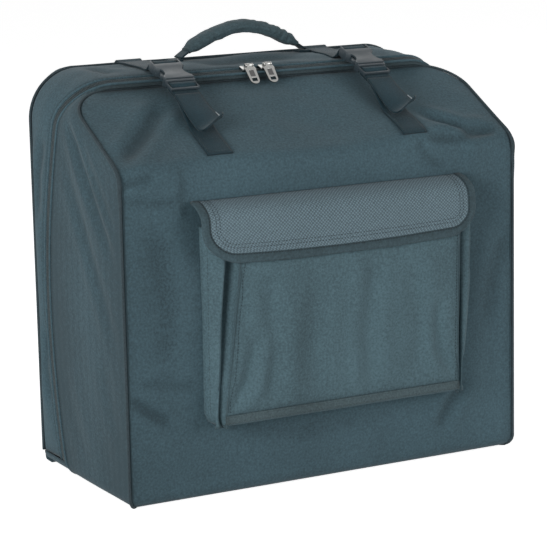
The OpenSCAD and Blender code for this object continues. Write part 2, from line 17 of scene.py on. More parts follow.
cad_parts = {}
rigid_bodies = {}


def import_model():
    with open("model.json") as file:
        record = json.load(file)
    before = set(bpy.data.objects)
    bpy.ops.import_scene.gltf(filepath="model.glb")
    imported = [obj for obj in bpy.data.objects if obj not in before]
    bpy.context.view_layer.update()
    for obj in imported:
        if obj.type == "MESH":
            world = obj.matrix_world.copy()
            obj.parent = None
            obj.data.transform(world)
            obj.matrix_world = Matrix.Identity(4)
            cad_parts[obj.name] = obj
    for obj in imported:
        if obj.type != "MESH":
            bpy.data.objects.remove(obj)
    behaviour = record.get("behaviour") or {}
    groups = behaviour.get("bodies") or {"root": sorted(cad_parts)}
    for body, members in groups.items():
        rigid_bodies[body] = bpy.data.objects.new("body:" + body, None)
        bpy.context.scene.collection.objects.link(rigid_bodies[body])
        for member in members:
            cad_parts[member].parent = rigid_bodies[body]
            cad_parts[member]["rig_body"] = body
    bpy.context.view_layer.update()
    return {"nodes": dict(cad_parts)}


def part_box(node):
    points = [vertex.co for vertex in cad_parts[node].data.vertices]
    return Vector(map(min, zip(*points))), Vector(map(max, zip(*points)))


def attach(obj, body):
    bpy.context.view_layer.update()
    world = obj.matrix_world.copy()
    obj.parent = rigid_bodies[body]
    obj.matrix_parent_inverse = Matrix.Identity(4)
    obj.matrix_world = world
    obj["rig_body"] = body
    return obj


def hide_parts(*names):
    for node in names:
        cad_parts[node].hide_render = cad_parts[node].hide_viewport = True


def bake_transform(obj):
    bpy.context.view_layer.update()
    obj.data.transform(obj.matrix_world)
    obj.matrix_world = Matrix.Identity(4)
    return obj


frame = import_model()
MM = 0.001
LEFT, RIGHT = -1, 1
WORDS = {LEFT: "left", RIGHT: "right"}

# %% [markdown]
# A picture of luggage is taken from a few metres away with a long lens, so upright
# edges stay nearly parallel. The camera stands to the front left, a little above the
# case. A matrix of its own three directions turns it, because a slight roll is easier
# to add there than to three angles.

# %% Camera
CAMERA_AT = Vector((-1.2101, -2.2748, 0.7236))
YAW = 0.4882
PITCH = 0.1976
ROLL = -0.0209
FOCAL_WIDTHS = 4.282
SENSOR_MM = 36

forward = Vector((math.sin(YAW) * math.cos(PITCH), math.cos(YAW) * math.cos(PITCH), -math.sin(PITCH)))
level = Vector((math.cos(YAW), -math.sin(YAW), 0))
upright = level.cross(forward)
right = math.cos(ROLL) * level + math.sin(ROLL) * upright
up = math.cos(ROLL) * upright - math.sin(ROLL) * level
camera = bpy.data.objects.new("camera", bpy.data.cameras.new("camera"))
camera.data.sensor_width = SENSOR_MM
camera.data.lens = FOCAL_WIDTHS * SENSOR_MM
camera.matrix_world = Matrix.Translation(CAMERA_AT) @ Matrix((right, up, -forward)).transposed().to_4x4()
bpy.context.collection.objects.link(camera)
bpy.context.scene.camera = camera
bpy.context.scene.view_settings.view_transform = "Standard"
print("lens", round(camera.data.lens, 1), "mm")

# %% [markdown]
# Nodes are easier to read when a short helper makes each one and links its inputs.
# A value goes on the socket, and another node's output is linked to it.

# %% Node helpers
def put(tree, kind, inputs=None, **settings):
    """Adds a node, sets its properties, and fills or links its inputs."""
    node = tree.nodes.new(kind)
    for key, value in settings.items():
        setattr(node, key, value)
    for key, value in (inputs or {}).items():
        if isinstance(value, bpy.types.NodeSocket):
            tree.links.new(value, node.inputs[key])
        else:
            node.inputs[key].default_value = value
    return node


def calc(tree, operation, *values):
    """A Math node's output."""
    return put(tree, "ShaderNodeMath", dict(enumerate(values)), operation=operation).outputs[0]


def blend_colours(tree, factor, a, b):
    """A colour between a and b."""
    node = put(tree, "ShaderNodeMix", {0: factor, 6: a, 7: b}, data_type="RGBA")
    return node.outputs[2]


def new_group(name, inputs, outputs):
    """A node group with number or vector inputs and number outputs."""
    tree = bpy.data.node_groups.new(name, "ShaderNodeTree")
    for label, value in inputs:
        kind = "NodeSocketVector" if value is None else "NodeSocketFloat"
        socket = tree.interface.new_socket(label, in_out="INPUT", socket_type=kind)
        if value is not None:
            socket.default_value = value
    for label in outputs:
        tree.interface.new_socket(label, in_out="OUTPUT", socket_type="NodeSocketFloat")
    return tree, tree.nodes.new("NodeGroupInput").outputs, tree.nodes.new("NodeGroupOutput").inputs


# %% [markdown]
# Soft light from large lamps suits dark cloth: it shows every dent without hard edges.
# A broad key lamp stands to the left of the camera, a weaker one to the right, and a
# faint one over the back lifts the top edge from the background. The sky and the floor
# look white to the camera only, so they don't wash out the cloth.

# %% Stage and lamps
FLOOR_SIZE = 14
FLOOR_GAP = 0.2 * MM
FLOOR_LIFT = 0.79
SKY_LIGHT = 0.24
LAMPS = {
    "lamp_key": ((-3.0, -1.7, 0.95), 1.7, 86),
    "lamp_fill": ((2.3, -2.6, 0.8), 2.2, 49),
    "lamp_back": ((0.3, 1.8, 2.4), 2.0, 12),
}
AIM = Vector((0, 0, 0.2))


def lamp(name, at, size, power):
    light = bpy.data.lights.new(name, "AREA")
    light.shape = "DISK"
    light.size = size
    light.energy = power
    holder = bpy.data.objects.new(name, light)
    holder.location = at
    holder.rotation_euler = (AIM - Vector(at)).to_track_quat("-Z", "Y").to_euler()
    bpy.context.collection.objects.link(holder)


def seen_directly(tree):
    """One where the camera, a mirror or glass looks straight at the surface."""
    path = tree.nodes.new("ShaderNodeLightPath").outputs
    glossy = calc(tree, "MAXIMUM", path["Is Glossy Ray"], path["Is Transmission Ray"])
    return calc(tree, "MAXIMUM", path["Is Camera Ray"], glossy)


for lamp_name, (at, size, power) in LAMPS.items():
    lamp(lamp_name, at, size, power)

world = bpy.data.worlds.new("studio")
world.use_nodes = True
bpy.context.scene.world = world
sky = world.node_tree
sky.nodes.clear()
strength = calc(sky, "MULTIPLY_ADD", seen_directly(sky), 1 - SKY_LIGHT, SKY_LIGHT)
background = put(sky, "ShaderNodeBackground", {"Color": (1, 1, 1, 1), "Strength": strength})
put(sky, "ShaderNodeOutputWorld", {"Surface": background.outputs[0]})

paper = bpy.data.materials.new("paper_floor")
paper.use_nodes = True
tree = paper.node_tree
tree.nodes.clear()
matt = put(tree, "ShaderNodeBsdfDiffuse", {"Color": (0.8, 0.8, 0.8, 1)})
lift = calc(tree, "MULTIPLY", seen_directly(tree), FLOOR_LIFT)
glow = put(tree, "ShaderNodeEmission", {"Color": (1, 1, 1, 1), "Strength": lift})
both = put(tree, "ShaderNodeAddShader", {0: matt.outputs[0], 1: glow.outputs[0]})
put(tree, "ShaderNodeOutputMaterial", {"Surface": both.outputs[0]})

bm = bmesh.new()
bmesh.ops.create_grid(bm, x_segments=1, y_segments=1, size=FLOOR_SIZE / 2)
floor_mesh = bpy.data.meshes.new("floor")
bm.to_mesh(floor_mesh)
bm.free()
floor_mesh.materials.append(paper)
floor = bpy.data.objects.new("floor", floor_mesh)
floor.location.z = -FLOOR_GAP
bpy.context.collection.objects.link(floor)
print("lamps:", len(LAMPS))

# %% [markdown]
# Woven nylon is two sets of threads that pass over and under each other. Each thread
# is a half round, highest where it crosses over, and the pattern swaps like a chess
# board. Counting threads per metre on the piece's own UV map, which is in metres here,
# keeps the cloth equally fine on every panel. A little noise bends the threads.

# %% Weave group
BEND_SCALE = 240.0
CROSSING_RISE = 0.6


def weave_group():
    """Height of a plain weave, and which thread is on top, from a UV in metres."""
    tree, given, out = new_group(
        "plain_weave", [("Vector", None), ("Along", 1500.0), ("Across", 1500.0), ("Wobble", 0.0002)],
        ["Height", "Over"])
    bent = put(tree, "ShaderNodeTexNoise", {"Vector": given["Vector"], "Scale": BEND_SCALE, "Detail": 2.0})
    centred = put(tree, "ShaderNodeVectorMath", {0: bent.outputs["Color"], 1: (0.5, 0.5, 0.5)},
                  operation="SUBTRACT")
    pushed = put(tree, "ShaderNodeVectorMath", {0: centred.outputs[0], "Scale": given["Wobble"]},
                 operation="SCALE")
    place = put(tree, "ShaderNodeVectorMath", {0: given["Vector"], 1: pushed.outputs[0]}, operation="ADD")
    axes = put(tree, "ShaderNodeSeparateXYZ", {0: place.outputs[0]}).outputs
    u = calc(tree, "MULTIPLY", axes[0], given["Along"])
    v = calc(tree, "MULTIPLY", axes[1], given["Across"])
    round_u = calc(tree, "ABSOLUTE", calc(tree, "SINE", calc(tree, "MULTIPLY", u, math.pi)))
    round_v = calc(tree, "ABSOLUTE", calc(tree, "SINE", calc(tree, "MULTIPLY", v, math.pi)))
    square = calc(tree, "ADD", calc(tree, "FLOOR", u), calc(tree, "FLOOR", v))
    over = calc(tree, "FLOORED_MODULO", square, 2.0)
    rise = (CROSSING_RISE, 1 - CROSSING_RISE)
    warp = calc(tree, "MULTIPLY", round_u, calc(tree, "MULTIPLY_ADD", round_v, *rise))
    weft = calc(tree, "MULTIPLY", round_v, calc(tree, "MULTIPLY_ADD", round_u, *rise))
    height = put(tree, "ShaderNodeMix", {0: over, 2: warp, 3: weft}, data_type="FLOAT")
    tree.links.new(height.outputs[0], out["Height"])
    tree.links.new(over, out["Over"])
    return tree


weave = weave_group()
print("group", weave.name)

# %% [markdown]
# Cloth that has been handled is never one flat shade. Long faint streaks run down the
# cloth where it was folded on its roll, broad patches are more or less faded, single
# threads are thicker or paler than their neighbours (slubs), and a few specks of lint
# sit on it. One group works all four out from the object's own coordinates, so that
# they run on from piece to piece.

# %% Handling group
STREAK_STRETCH = (12.0, 12.0, 2.0)
LINT_SCALE = 900.0
LINT_CUT = 0.76


def handling_group():
    """Streaks, fading and slubs as a tone around 0, and a mask of lint, from object coordinates."""
    tree, given, out = new_group(
        "handling", [("Vector", None), ("Streak", 1.0), ("Fade", 1.0), ("Slub", 1.0), ("Lint", 1.0)],
        ["Tone", "Lint"])
    tall = put(tree, "ShaderNodeMapping", {"Vector": given["Vector"], "Scale": STREAK_STRETCH})
    tone = 0.0
    for label, place, scale, detail in (("Streak", tall.outputs[0], 1.0, 0.5),
                                        ("Fade", given["Vector"], 6.0, 4.0),
                                        ("Slub", given["Vector"], 420.0, 2.0)):
        cloud = put(tree, "ShaderNodeTexNoise", {"Vector": place, "Scale": scale, "Detail": detail})
        centred = calc(tree, "SUBTRACT", cloud.outputs[0], 0.5)
        tone = calc(tree, "ADD", tone, calc(tree, "MULTIPLY", centred, given[label]))
    tree.links.new(tone, out["Tone"])
    fine = put(tree, "ShaderNodeTexNoise", {"Vector": given["Vector"], "Scale": LINT_SCALE, "Detail": 1.0})
    speck = calc(tree, "GREATER_THAN", fine.outputs[0], LINT_CUT)
    tree.links.new(calc(tree, "MULTIPLY", speck, given["Lint"]), out["Lint"])
    return tree


handling = handling_group()
print("group", handling.name)

# %% [markdown]
# Most finishes on this case are cloth, and differ in colour, thread count, gloss and
# wear. One function builds such a material from those values. Sheen, the soft light
# rim of brushed threads, is a constant, so it stays on the shader's own socket. The
# attribute "edge" is one at a seam and fades to nothing a few millimetres away. It also
# rises in the valley of a fold. The colour is painted darker in both, as painted shade
# with some dust. Raised threads are painted lighter and the hollows between them darker,
# a painted highlight and shade at the weave's scale.

# %% Cloth shader
WEAVE_MIDDLE = 0.45
THREAD_BEND = 1.1
LINT_COLOUR = (0.35, 0.37, 0.37, 1)


def scaled_colour(colour, share):
    return tuple(c * share for c in colour) + (1.0,)


def cloth(name, colour, threads, thread_height, rough=0.8, sheen=0.06, streak=0.3, fade=0.8, slub=1.3,
          lint=0.25, weave_shade=0.45, painted_shade=0.5, two_tone=0.0):
    """A woven material: threads are counted per metre, along and across."""
    material = bpy.data.materials.new(name)
    material.use_nodes = True
    tree = material.node_tree
    shader = tree.nodes["Principled BSDF"]
    where = tree.nodes.new("ShaderNodeTexCoord").outputs
    along, across = threads
    pattern = put(tree, "ShaderNodeGroup", {"Vector": where["UV"], "Along": along, "Across": across,
                                            "Wobble": THREAD_BEND / max(threads)}, node_tree=weave)
    used = put(tree, "ShaderNodeGroup", {"Vector": where["Object"], "Streak": streak, "Fade": fade,
                                         "Slub": slub, "Lint": lint}, node_tree=handling)
    edge = put(tree, "ShaderNodeAttribute", attribute_name="edge").outputs["Fac"]
    height = pattern.outputs["Height"]
    # Painted highlight and shade at the weave's scale: raised threads are painted lighter and the hollows
    # between them darker.
    tone = calc(tree, "MULTIPLY_ADD", calc(tree, "SUBTRACT", height, WEAVE_MIDDLE), weave_shade, 0.5)
    tone = calc(tree, "ADD", tone, used.outputs["Tone"])
    tone = calc(tree, "MULTIPLY_ADD", calc(tree, "SUBTRACT", pattern.outputs["Over"], 0.5), two_tone, tone)
    # Painted shade, with some dust: the colour darkens along seams and in the valleys of folds, by the edge
    # attribute.
    tone = calc(tree, "SUBTRACT", tone, calc(tree, "MULTIPLY", edge, painted_shade))
    tone_and_painted_shade = blend_colours(tree, tone, scaled_colour(colour, 0.6), scaled_colour(colour, 1.4))
    specks = calc(tree, "MULTIPLY", used.outputs["Lint"], 0.5)
    lint_over_painted_shade = blend_colours(tree, specks, tone_and_painted_shade, LINT_COLOUR)
    tree.links.new(lint_over_painted_shade, shader.inputs["Base Color"])
    shine = calc(tree, "MULTIPLY_ADD", height, -0.12, rough + 0.06)
    tree.links.new(shine, shader.inputs["Roughness"])
    bump = put(tree, "ShaderNodeBump", {"Height": height, "Strength": 0.8, "Distance": thread_height})
    tree.links.new(bump.outputs[0], shader.inputs["Normal"])
    shader.inputs["Sheen Weight"].default_value = sheen
    shader.inputs["Sheen Roughness"].default_value = 0.45
    shader.inputs["Specular IOR Level"].default_value = 0.2
    return material


print("cloth shader ready")

# %% [markdown]
# The cover is a dark blue-grey nylon, fine enough to look smooth. The flap is a coarse
# ballistic nylon, paler because its thick threads catch more light. The pocket, tapes
# and bindings are lighter cloths of the same dye, and the webbing is nearly black. The
# last two, the sewing threads, differ only in how well they match the cloth.

# %% Cloths of the case
NYLON = (0.048, 0.087, 0.106)
finish = {
    "shell_fabric": cloth("shell_fabric", NYLON, (1700, 1700), 0.03 * MM, weave_shade=0.15),
    "ballistic_fabric": cloth("ballistic_fabric", (0.108, 0.158, 0.184), (500, 500), 0.4 * MM,
                              rough=0.7, weave_shade=0.9, two_tone=1.3),
    "pocket_fabric": cloth("pocket_fabric", (0.066, 0.114, 0.134), (1500, 1500), 0.03 * MM),
    "binding_fabric": cloth("binding_fabric", (0.048, 0.080, 0.094), (1500, 1500), 0.14 * MM),
    "tape_fabric": cloth("tape_fabric", (0.060, 0.090, 0.100), (1300, 1300), 0.15 * MM),
    "piping": cloth("piping", (0.030, 0.046, 0.054), (1300, 1300), 0.08 * MM, sheen=0.05, lint=0.1),
    "cut_nylon": cloth("cut_nylon", (0.28, 0.32, 0.34), (1500, 1500), 0.05 * MM, lint=0.0),
    "lining": cloth("lining", (0.030, 0.036, 0.042), (2600, 2600), 0.05 * MM, rough=0.6, sheen=0.15),
    # The zip tape gets less painted shade along its edges than the other cloths.
    "zip_tape": cloth("zip_tape", (0.036, 0.056, 0.064), (700, 1400), 0.15 * MM, painted_shade=0.2),
    "webbing": cloth("webbing", (0.010, 0.031, 0.042), (560, 900), 0.2 * MM, rough=0.66, weave_shade=0.8),
    "grip": cloth("grip", (0.050, 0.082, 0.094), (1700, 1700), 0.12 * MM),
    "touch_tape": cloth("touch_tape", (0.012, 0.013, 0.015), (800, 800), 0.9 * MM, rough=0.9, sheen=0.5),
    "thread": cloth("thread", (0.060, 0.085, 0.095), (2200, 2200), 0.05 * MM, lint=0.0),
    "thread_dark": cloth("thread_dark", (0.010, 0.014, 0.018), (2200, 2200), 0.05 * MM, lint=0.0),
}
print("cloths:", len(finish))

# %% [markdown]
# Moulded nylon clips have a fine spark-eroded grain and pale, rubbed edges. Foam is
# full of tiny cells, the board in the base is pressed fibre, and the zip's sliders are
# chromed, with a light brushing and a few smudges. Each is one Principled shader whose
# roughness and bump come from noise at the size of the real grain.

# %% Hard and cellular materials
SMUDGE_SCALE = 130.0


def grained(name, colour, rough, grain_size, grain_height, metallic=0.0, spread=0.15, smudge=0.1,
            squeeze=(1.0, 1.0, 1.0)):
    """A material whose grain is noise, squeezed along an axis where it is brushed."""
    material = bpy.data.materials.new(name)
    material.use_nodes = True
    tree = material.node_tree
    shader = tree.nodes["Principled BSDF"]
    where = tree.nodes.new("ShaderNodeTexCoord").outputs["Object"]
    drawn = put(tree, "ShaderNodeMapping", {"Vector": where, "Scale": squeeze})
    grain = put(tree, "ShaderNodeTexNoise", {"Vector": drawn.outputs[0], "Scale": 1 / grain_size,
                                             "Detail": 3.0}).outputs[0]
    marks = put(tree, "ShaderNodeTexNoise", {"Vector": where, "Scale": SMUDGE_SCALE, "Detail": 3.0}).outputs[0]
    tone = calc(tree, "MULTIPLY_ADD", calc(tree, "SUBTRACT", grain, 0.5), spread, 0.5)
    tree.links.new(blend_colours(tree, tone, scaled_colour(colour, 0.6), scaled_colour(colour, 1.4)), shader.inputs["Base Color"])
    polish = calc(tree, "MULTIPLY_ADD", calc(tree, "SUBTRACT", marks, 0.5), smudge, rough)
    tree.links.new(polish, shader.inputs["Roughness"])
    bump = put(tree, "ShaderNodeBump", {"Height": grain, "Strength": 0.6, "Distance": grain_height})
    tree.links.new(bump.outputs[0], shader.inputs["Normal"])
    shader.inputs["Metallic"].default_value = metallic
    return material


finish.update({
    "clip_plastic": grained("clip_plastic", (0.024, 0.036, 0.044), 0.42, 0.5 * MM, 0.03 * MM, smudge=0.25),
    "zip_metal": grained("zip_metal", (0.34, 0.34, 0.33), 0.18, 0.3 * MM, 0.01 * MM, metallic=1.0,
                         spread=0.1, smudge=0.2, squeeze=(1.0, 0.15, 0.15)),
    "zip_dark": grained("zip_dark", (0.10, 0.10, 0.10), 0.5, 0.4 * MM, 0.04 * MM, metallic=0.8, spread=0.5),
    "zip_teeth": grained("zip_teeth", (0.050, 0.072, 0.080), 0.4, 0.3 * MM, 0.02 * MM),
    "foam": grained("foam", (0.16, 0.16, 0.17), 0.9, 0.8 * MM, 0.4 * MM, spread=0.8),
    "board": grained("board", (0.05, 0.05, 0.055), 0.8, 1.2 * MM, 0.08 * MM, spread=0.5, squeeze=(0.3, 1, 1)),
})
print("finishes:", len(finish))

# %% [markdown]
# Every piece made here ends the same way. Its mesh gets a finish, and it rides on the body
# that carries it on the real case.

# %% Finished pieces
def to_object(bm, name, body, material, slot_name=None, smooth=True):
    """Makes the finished piece of a bmesh and lets it ride on its body."""
    mesh = bpy.data.meshes.new(name)
    if smooth:
        for face in bm.faces:
            face.smooth = True
    bm.to_mesh(mesh)
    bm.free()
    mesh.materials.append(finish[material])
    piece = bpy.data.objects.new(name, mesh)
    bpy.context.collection.objects.link(piece)
    if body:
        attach(piece, body)
    slot_name or material
    return piece


print("pieces can be made")

# %% [markdown]
# Most of the case is sheet: cloth, padded panels, webbing, piping. A grid is the
# quickest start for all of them. Each corner of the grid is then placed by a short
# rule for the piece. Doing it this way gives even cells, a UV map in metres for the
# weave, and a known distance to every seam, which a box or a scan wouldn't.

# %% Sheets from grids
PAD_T = 8.4 * MM
SEAM_FADE = 5 * MM
PLUMP_FADE = 7 * MM
SEAM_SHARE = 0.3
LEAST_PLUMP = 0.1
# A fold this deep gets the most painted shade in its valley, up to CREASE_SHADE.
CREASE_DEPTH = 4.5 * MM
CREASE_SHADE = 0.8


def running(points):
    """The length of the line up to each of its points."""
    total = [0.0]
    for a, b in zip(points, points[1:]):
        total.append(total[-1] + (b - a).length)
    return total


def sheet(name, body, material, nu, nv, place, relief=None, wrap=False, closed_ends=False, flip=False,
          slot_name=None):
    """A grid of nu by nv cells whose corner (i, j) lies at place(i, j), moved out by relief(point, gap).
    The gap is the distance to the nearest edge. A relief with a shape also shades its folds and
    thins the padding there. A wrapped sheet joins its first and last rows."""
    bm = bmesh.new()
    bmesh.ops.create_grid(bm, x_segments=nu, y_segments=nv, size=0.5)
    uv = bm.loops.layers.uv.new("UVMap")
    edge = bm.verts.layers.float.new("edge")
    plump = bm.verts.layers.deform.new()
    index = {v: (round((v.co.x + 0.5) * nu), round((v.co.y + 0.5) * nv)) for v in bm.verts}
    for v, (i, j) in index.items():
        v.co = place(i, j)
    along = running([place(i, nv // 2) for i in range(nu + 1)])
    across = running([place(nu // 2, j) for j in range(nv + 1)])
    for face in bm.faces:
        for loop in face.loops:
            i, j = index[loop.vert]
            loop[uv].uv = (along[i], across[j])
    bm.normal_update()
    gaps = {}
    for v, (i, j) in index.items():
        gap = min(along[i], along[-1] - along[i])
        if not wrap:
            gap = min(gap, across[j], across[-1] - across[j])
        gaps[v] = gap
        # Painted shade, with some dust, along the seams: the edge attribute darkens the colour here.
        v[edge] = math.exp(-gap / SEAM_FADE)
        v[plump][0] = 1 - (1 - SEAM_SHARE) * math.exp(-gap / PLUMP_FADE)
    if relief:
        for v, gap in gaps.items():
            # Painted shade in the valleys of folds: a fold's depth raises the edge attribute, which darkens
            # the colour.
            shade = -relief.shape(v.co) / CREASE_DEPTH if hasattr(relief, "shape") else 0
            v[edge] = max(v[edge], min(CREASE_SHADE, shade))
        rise = {v: relief(v.co, gap) for v, gap in gaps.items()}
        moved = {v: v.co + v.normal * rise[v] for v in gaps}
        for v in gaps:
            v[plump][0] *= max(LEAST_PLUMP, min(1, 1 + rise[v] / PAD_T))
        joined = {index[v][0]: co for v, co in moved.items() if index[v][1] == 0}
        for v, co in moved.items():
            v.co = joined[index[v][0]] if wrap and index[v][1] == nv else co
    if wrap:
        bmesh.ops.remove_doubles(bm, verts=bm.verts, dist=0.001 * MM)
        if closed_ends:
            bmesh.ops.holes_fill(bm, edges=[e for e in bm.edges if e.is_boundary], sides=0)
        bmesh.ops.recalc_face_normals(bm, faces=bm.faces)
    elif flip:
        bmesh.ops.reverse_faces(bm, faces=bm.faces)
    return to_object(bm, name, body, material, slot_name)


def thicken(piece, thickness, pinched=False, even=True):
    """Gives a sheet its thickness inwards. A pinched pad is thin at its seams."""
    solid = piece.modifiers.new("thickness", "SOLIDIFY")
    solid.thickness = thickness
    solid.offset = -1
    solid.use_even_offset = even and not pinched
    if pinched:
        group = piece.vertex_groups.new(name="plump")
        solid.vertex_group = group.name
    return piece


def pad(name, body, cells, place, relief, nodes, flip=False):
    """A panel of cloth over soft foam, thin at its seams, in place of CAD nodes."""
    piece = sheet(name, body, "shell_fabric", *cells, place, relief, flip=flip)
    thicken(piece, PAD_T, pinched=True)
    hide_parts(*nodes)
    return piece


print("sheets and pads ready, pads", round(PAD_T / MM, 1), "mm thick")

# %% [markdown]
# Piping, hems, tapes and the grip are long and round or flat in section. Each is a bar
# that follows a line, and the line is read by its share of length, so that stitches and
# coil turns come out evenly spaced. A curve object could do this too, but a grid keeps
# the UV map in metres and lets the section change along the way.

# %% Lines and bars
HEADING_REACH = 0.6 * MM


class Track:
    """A line through points, read by its share of length, with a direction at each point."""

    def __init__(self, points, sides=None):
        self.points = [Vector(p) for p in points]
        self.sides = sides
        self.total = running(self.points)

    @property
    def length(self):
        return self.total[-1]

    def between(self, values, share):
        want = min(max(share, 0), 1) * self.length
        low, high = 0, len(self.total) - 1
        while high - low > 1:
            middle = (low + high) // 2
            low, high = (middle, high) if self.total[middle] <= want else (low, middle)
        step = self.total[high] - self.total[low]
        return values[low].lerp(values[high], (want - self.total[low]) / step if step else 0)

    def at(self, share):
        return self.between(self.points, share)

    def side(self, share):
        return self.between(self.sides, share)

    def heading(self, share):
        reach = HEADING_REACH / self.length
        return (self.at(share + reach) - self.at(share - reach)).normalized()


def smooth_line(points, per=10):
    """Points of a smooth line through points placed by hand."""
    p = [Vector(q) for q in points]
    p = [2 * p[0] - p[1]] + p + [2 * p[-1] - p[-2]]
    line = []
    for a, b, c, d in zip(p, p[1:], p[2:], p[3:]):
        for k in range(per):
            t = k / per
            line.append(0.5 * (2 * b + (c - a) * t + (2 * a - 5 * b + 4 * c - d) * t * t
                               + (3 * b - a - 3 * c + d) * t ** 3))
    return line + [p[-2]]


def swept(name, body, material, line, outs, steps, section, around=16, relief=None, slot_name=None):
    """A closed bar along a line. section(share, turn) gives its corner as (across, out), and outs
    is the direction that its outer face looks, as one vector or one for each point."""
    if not isinstance(outs, list):
        outs = [outs] * len(line)
    track = Track(line, [Vector(o) for o in outs])

    def place(i, j):
        share = i / steps
        ahead = track.heading(share)
        out = track.side(share)
        out = (out - ahead * out.dot(ahead)).normalized()
        across, height = section(share, 2 * math.pi * (j % around) / around)
        return track.at(share) + ahead.cross(out) * across + out * height

    return sheet(name, body, material, steps, around, place, relief, wrap=True, closed_ends=True,
                 slot_name=slot_name)


def oval(width, height, squareness=1.0):
    """A rounded section. A squareness of 1 is an ellipse, and 0.3 a flat band with round edges."""
    def section(share, turn):
        c, s = math.cos(turn), math.sin(turn)
        return (width / 2 * math.copysign(abs(c) ** squareness, c),
                height / 2 * math.copysign(abs(s) ** squareness, s))
    return section


print("lines and bars ready")

# %% [markdown]
# Cloth over foam never lies flat. It bulges a little between its seams, dips at the
# thread, and keeps the folds it was packed with. A fold is a line given where the real
# case has one, with a depth and a width. Its valley has soft shoulders, as a pad has,
# and noise adds the shallow ripples that no hand could place.

# %% Folds and ripples
FOLD_DEPTH = 2.0
SHOULDER = 0.45
CROWN_FADE = 55 * MM
SLACK_FADE = 9 * MM
TUCK_FADE = 2.2 * MM
FLOOR_SAFE = 14 * MM


def gap_to_line(point, line):
    """Distance from a point to a line, less near its ends, and the share of the fold's depth there."""
    best, fade = 1.0, 0.0
    count = len(line) - 1
    for k in range(count):
        a, b = line[k], line[k + 1]
        step = b - a
        t = max(0.0, min(1.0, (point - a).dot(step) / step.length_squared))
        gap = (point - a - step * t).length
        if gap < best:
            best = gap
            share = (k + t) / count
            fade = min(1.0, 5 * min(share, 1 - share) + 0.15)
    return best, fade


def folded(folds):
    """The height that a list of folds gives a point. A fold is (points in mm, depth, width)."""
    ready = [([Vector(p) * MM for p in points], depth * MM, width * MM) for points, depth, width in folds]

    def height(point):
        total = 0.0
        for line, depth, width in ready:
            gap, fade = gap_to_line(point, line)
            if gap < 4 * width:
                r = gap / width
                shoulder = SHOULDER * math.exp(-((r - 2) / 0.9) ** 2)
                total -= FOLD_DEPTH * depth * fade * (math.exp(-r * r) - shoulder)
        return total
    return height


def ripple(point, sizes, height, seed):
    """Shallow waves, with their lengths along X, Y and Z in millimetres."""
    scaled = Vector((point.x / sizes[0], point.y / sizes[1], point.z / sizes[2])) / MM
    return height * MM * noise.noise(scaled + Vector((seed, seed, seed)))


def puffed(crown, folds=(), waves=(), tuck=1.6, floor_safe=True):
    """The relief of a padded panel: how far it bulges, its folds, and its ripples. Near the floor it
    fades to nothing, so that no cloth sinks into the ground."""
    shape = folded(folds)

    def relief(point, gap):
        seam = 1 - math.exp(-gap / SLACK_FADE)
        rise = crown * MM * (1 - math.exp(-gap / CROWN_FADE)) * seam
        rise -= tuck * MM * math.exp(-gap / TUCK_FADE)
        rise += seam * shape(point)
        for seed, (sizes, height) in enumerate(waves):
            rise += seam * ripple(point, sizes, height, 7.3 * seed + 1.7)
        if floor_safe and point.z < FLOOR_SAFE:
            rise *= max(0.0, point.z / FLOOR_SAFE)
        return rise
    relief.shape = shape
    return relief


print("fold helpers ready")

# %% [markdown]
# All panels meet at seams, so the seams come first. The front panel's side view is a
# line: round the lower edge, up the face, over the fold and up the slope. Its box comes
# from the CAD cover. The fold is rounded, because foam doesn't crease. A number of
# millimetres inwards gives the same line for the lining.

# %% Side view of the front
HALF_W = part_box("lid_band_cover")[1].x
FRONT_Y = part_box("front_cover")[0].y
BACK_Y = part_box("lid_back_cover")[1].y
TOP_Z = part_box("lid_piping")[1].z - 0.8 * MM
ROUND_LOW = 12 * MM
FOLD_Z = 356 * MM
CREST = Vector((16, 427)) * MM
FOLD_SOFT = 17 * MM
PLANE_R = 50 * MM
CORNER_R = 55 * MM

fold = Vector((FRONT_Y, FOLD_Z))
arc_l = math.pi / 2 * ROUND_LOW
face_l = FOLD_Z - ROUND_LOW
slope_l = (CREST - fold).length
UP = Vector((0, 1))
SLOPE = (CREST - fold).normalized()
Q_CORNER = face_l + slope_l - PLANE_R
print("face", round(face_l / MM), "mm, slope", round(slope_l / MM), "mm")


def profile(q, inset=0.0):
    """The front's side view (y, z) at a length q above the rounded lower edge."""
    if q < 0:
        turn = math.pi / 2 * (1 + q / arc_l)
        point = Vector((FRONT_Y + ROUND_LOW - ROUND_LOW * math.sin(turn),
                        ROUND_LOW - ROUND_LOW * math.cos(turn)))
        ahead = Vector((-math.cos(turn), math.sin(turn)))
    else:
        gap = abs(q - face_l)
        point = Vector((FRONT_Y, ROUND_LOW)) + UP * min(q, face_l) + SLOPE * max(q - face_l, 0)
        point += (SLOPE - UP) * max(FOLD_SOFT - gap, 0) ** 2 / (4 * FOLD_SOFT)
        turned = min(1, max(0, 0.5 + (q - face_l) / (2 * FOLD_SOFT)))
        ahead = UP.lerp(SLOPE, turned).normalized()
    return point - Vector((-ahead.y, ahead.x)) * inset


def half_width(q, inset=0.0):
    """Half the front panel's width at q: it narrows round the lower edge and the upper corners."""
    if q < 0:
        return HALF_W - ROUND_LOW + ROUND_LOW * math.sin(math.pi / 2 * (1 + q / arc_l)) - inset
    if q <= Q_CORNER:
        return HALF_W - inset
    return HALF_W - PLANE_R + math.sqrt(max(PLANE_R ** 2 - (q - Q_CORNER) ** 2, 0)) - inset


# %% [markdown]
# Seen from the side, the zip leaves the base near the back, bows backwards on its way
# up and leans forward to the crest. Every row round the case holds four things: a point
# on the front seam, a point on the zip, the direction across the zip, and a point on
# the back seam. Panels that use the same rows share their edges, as sewn ones do.

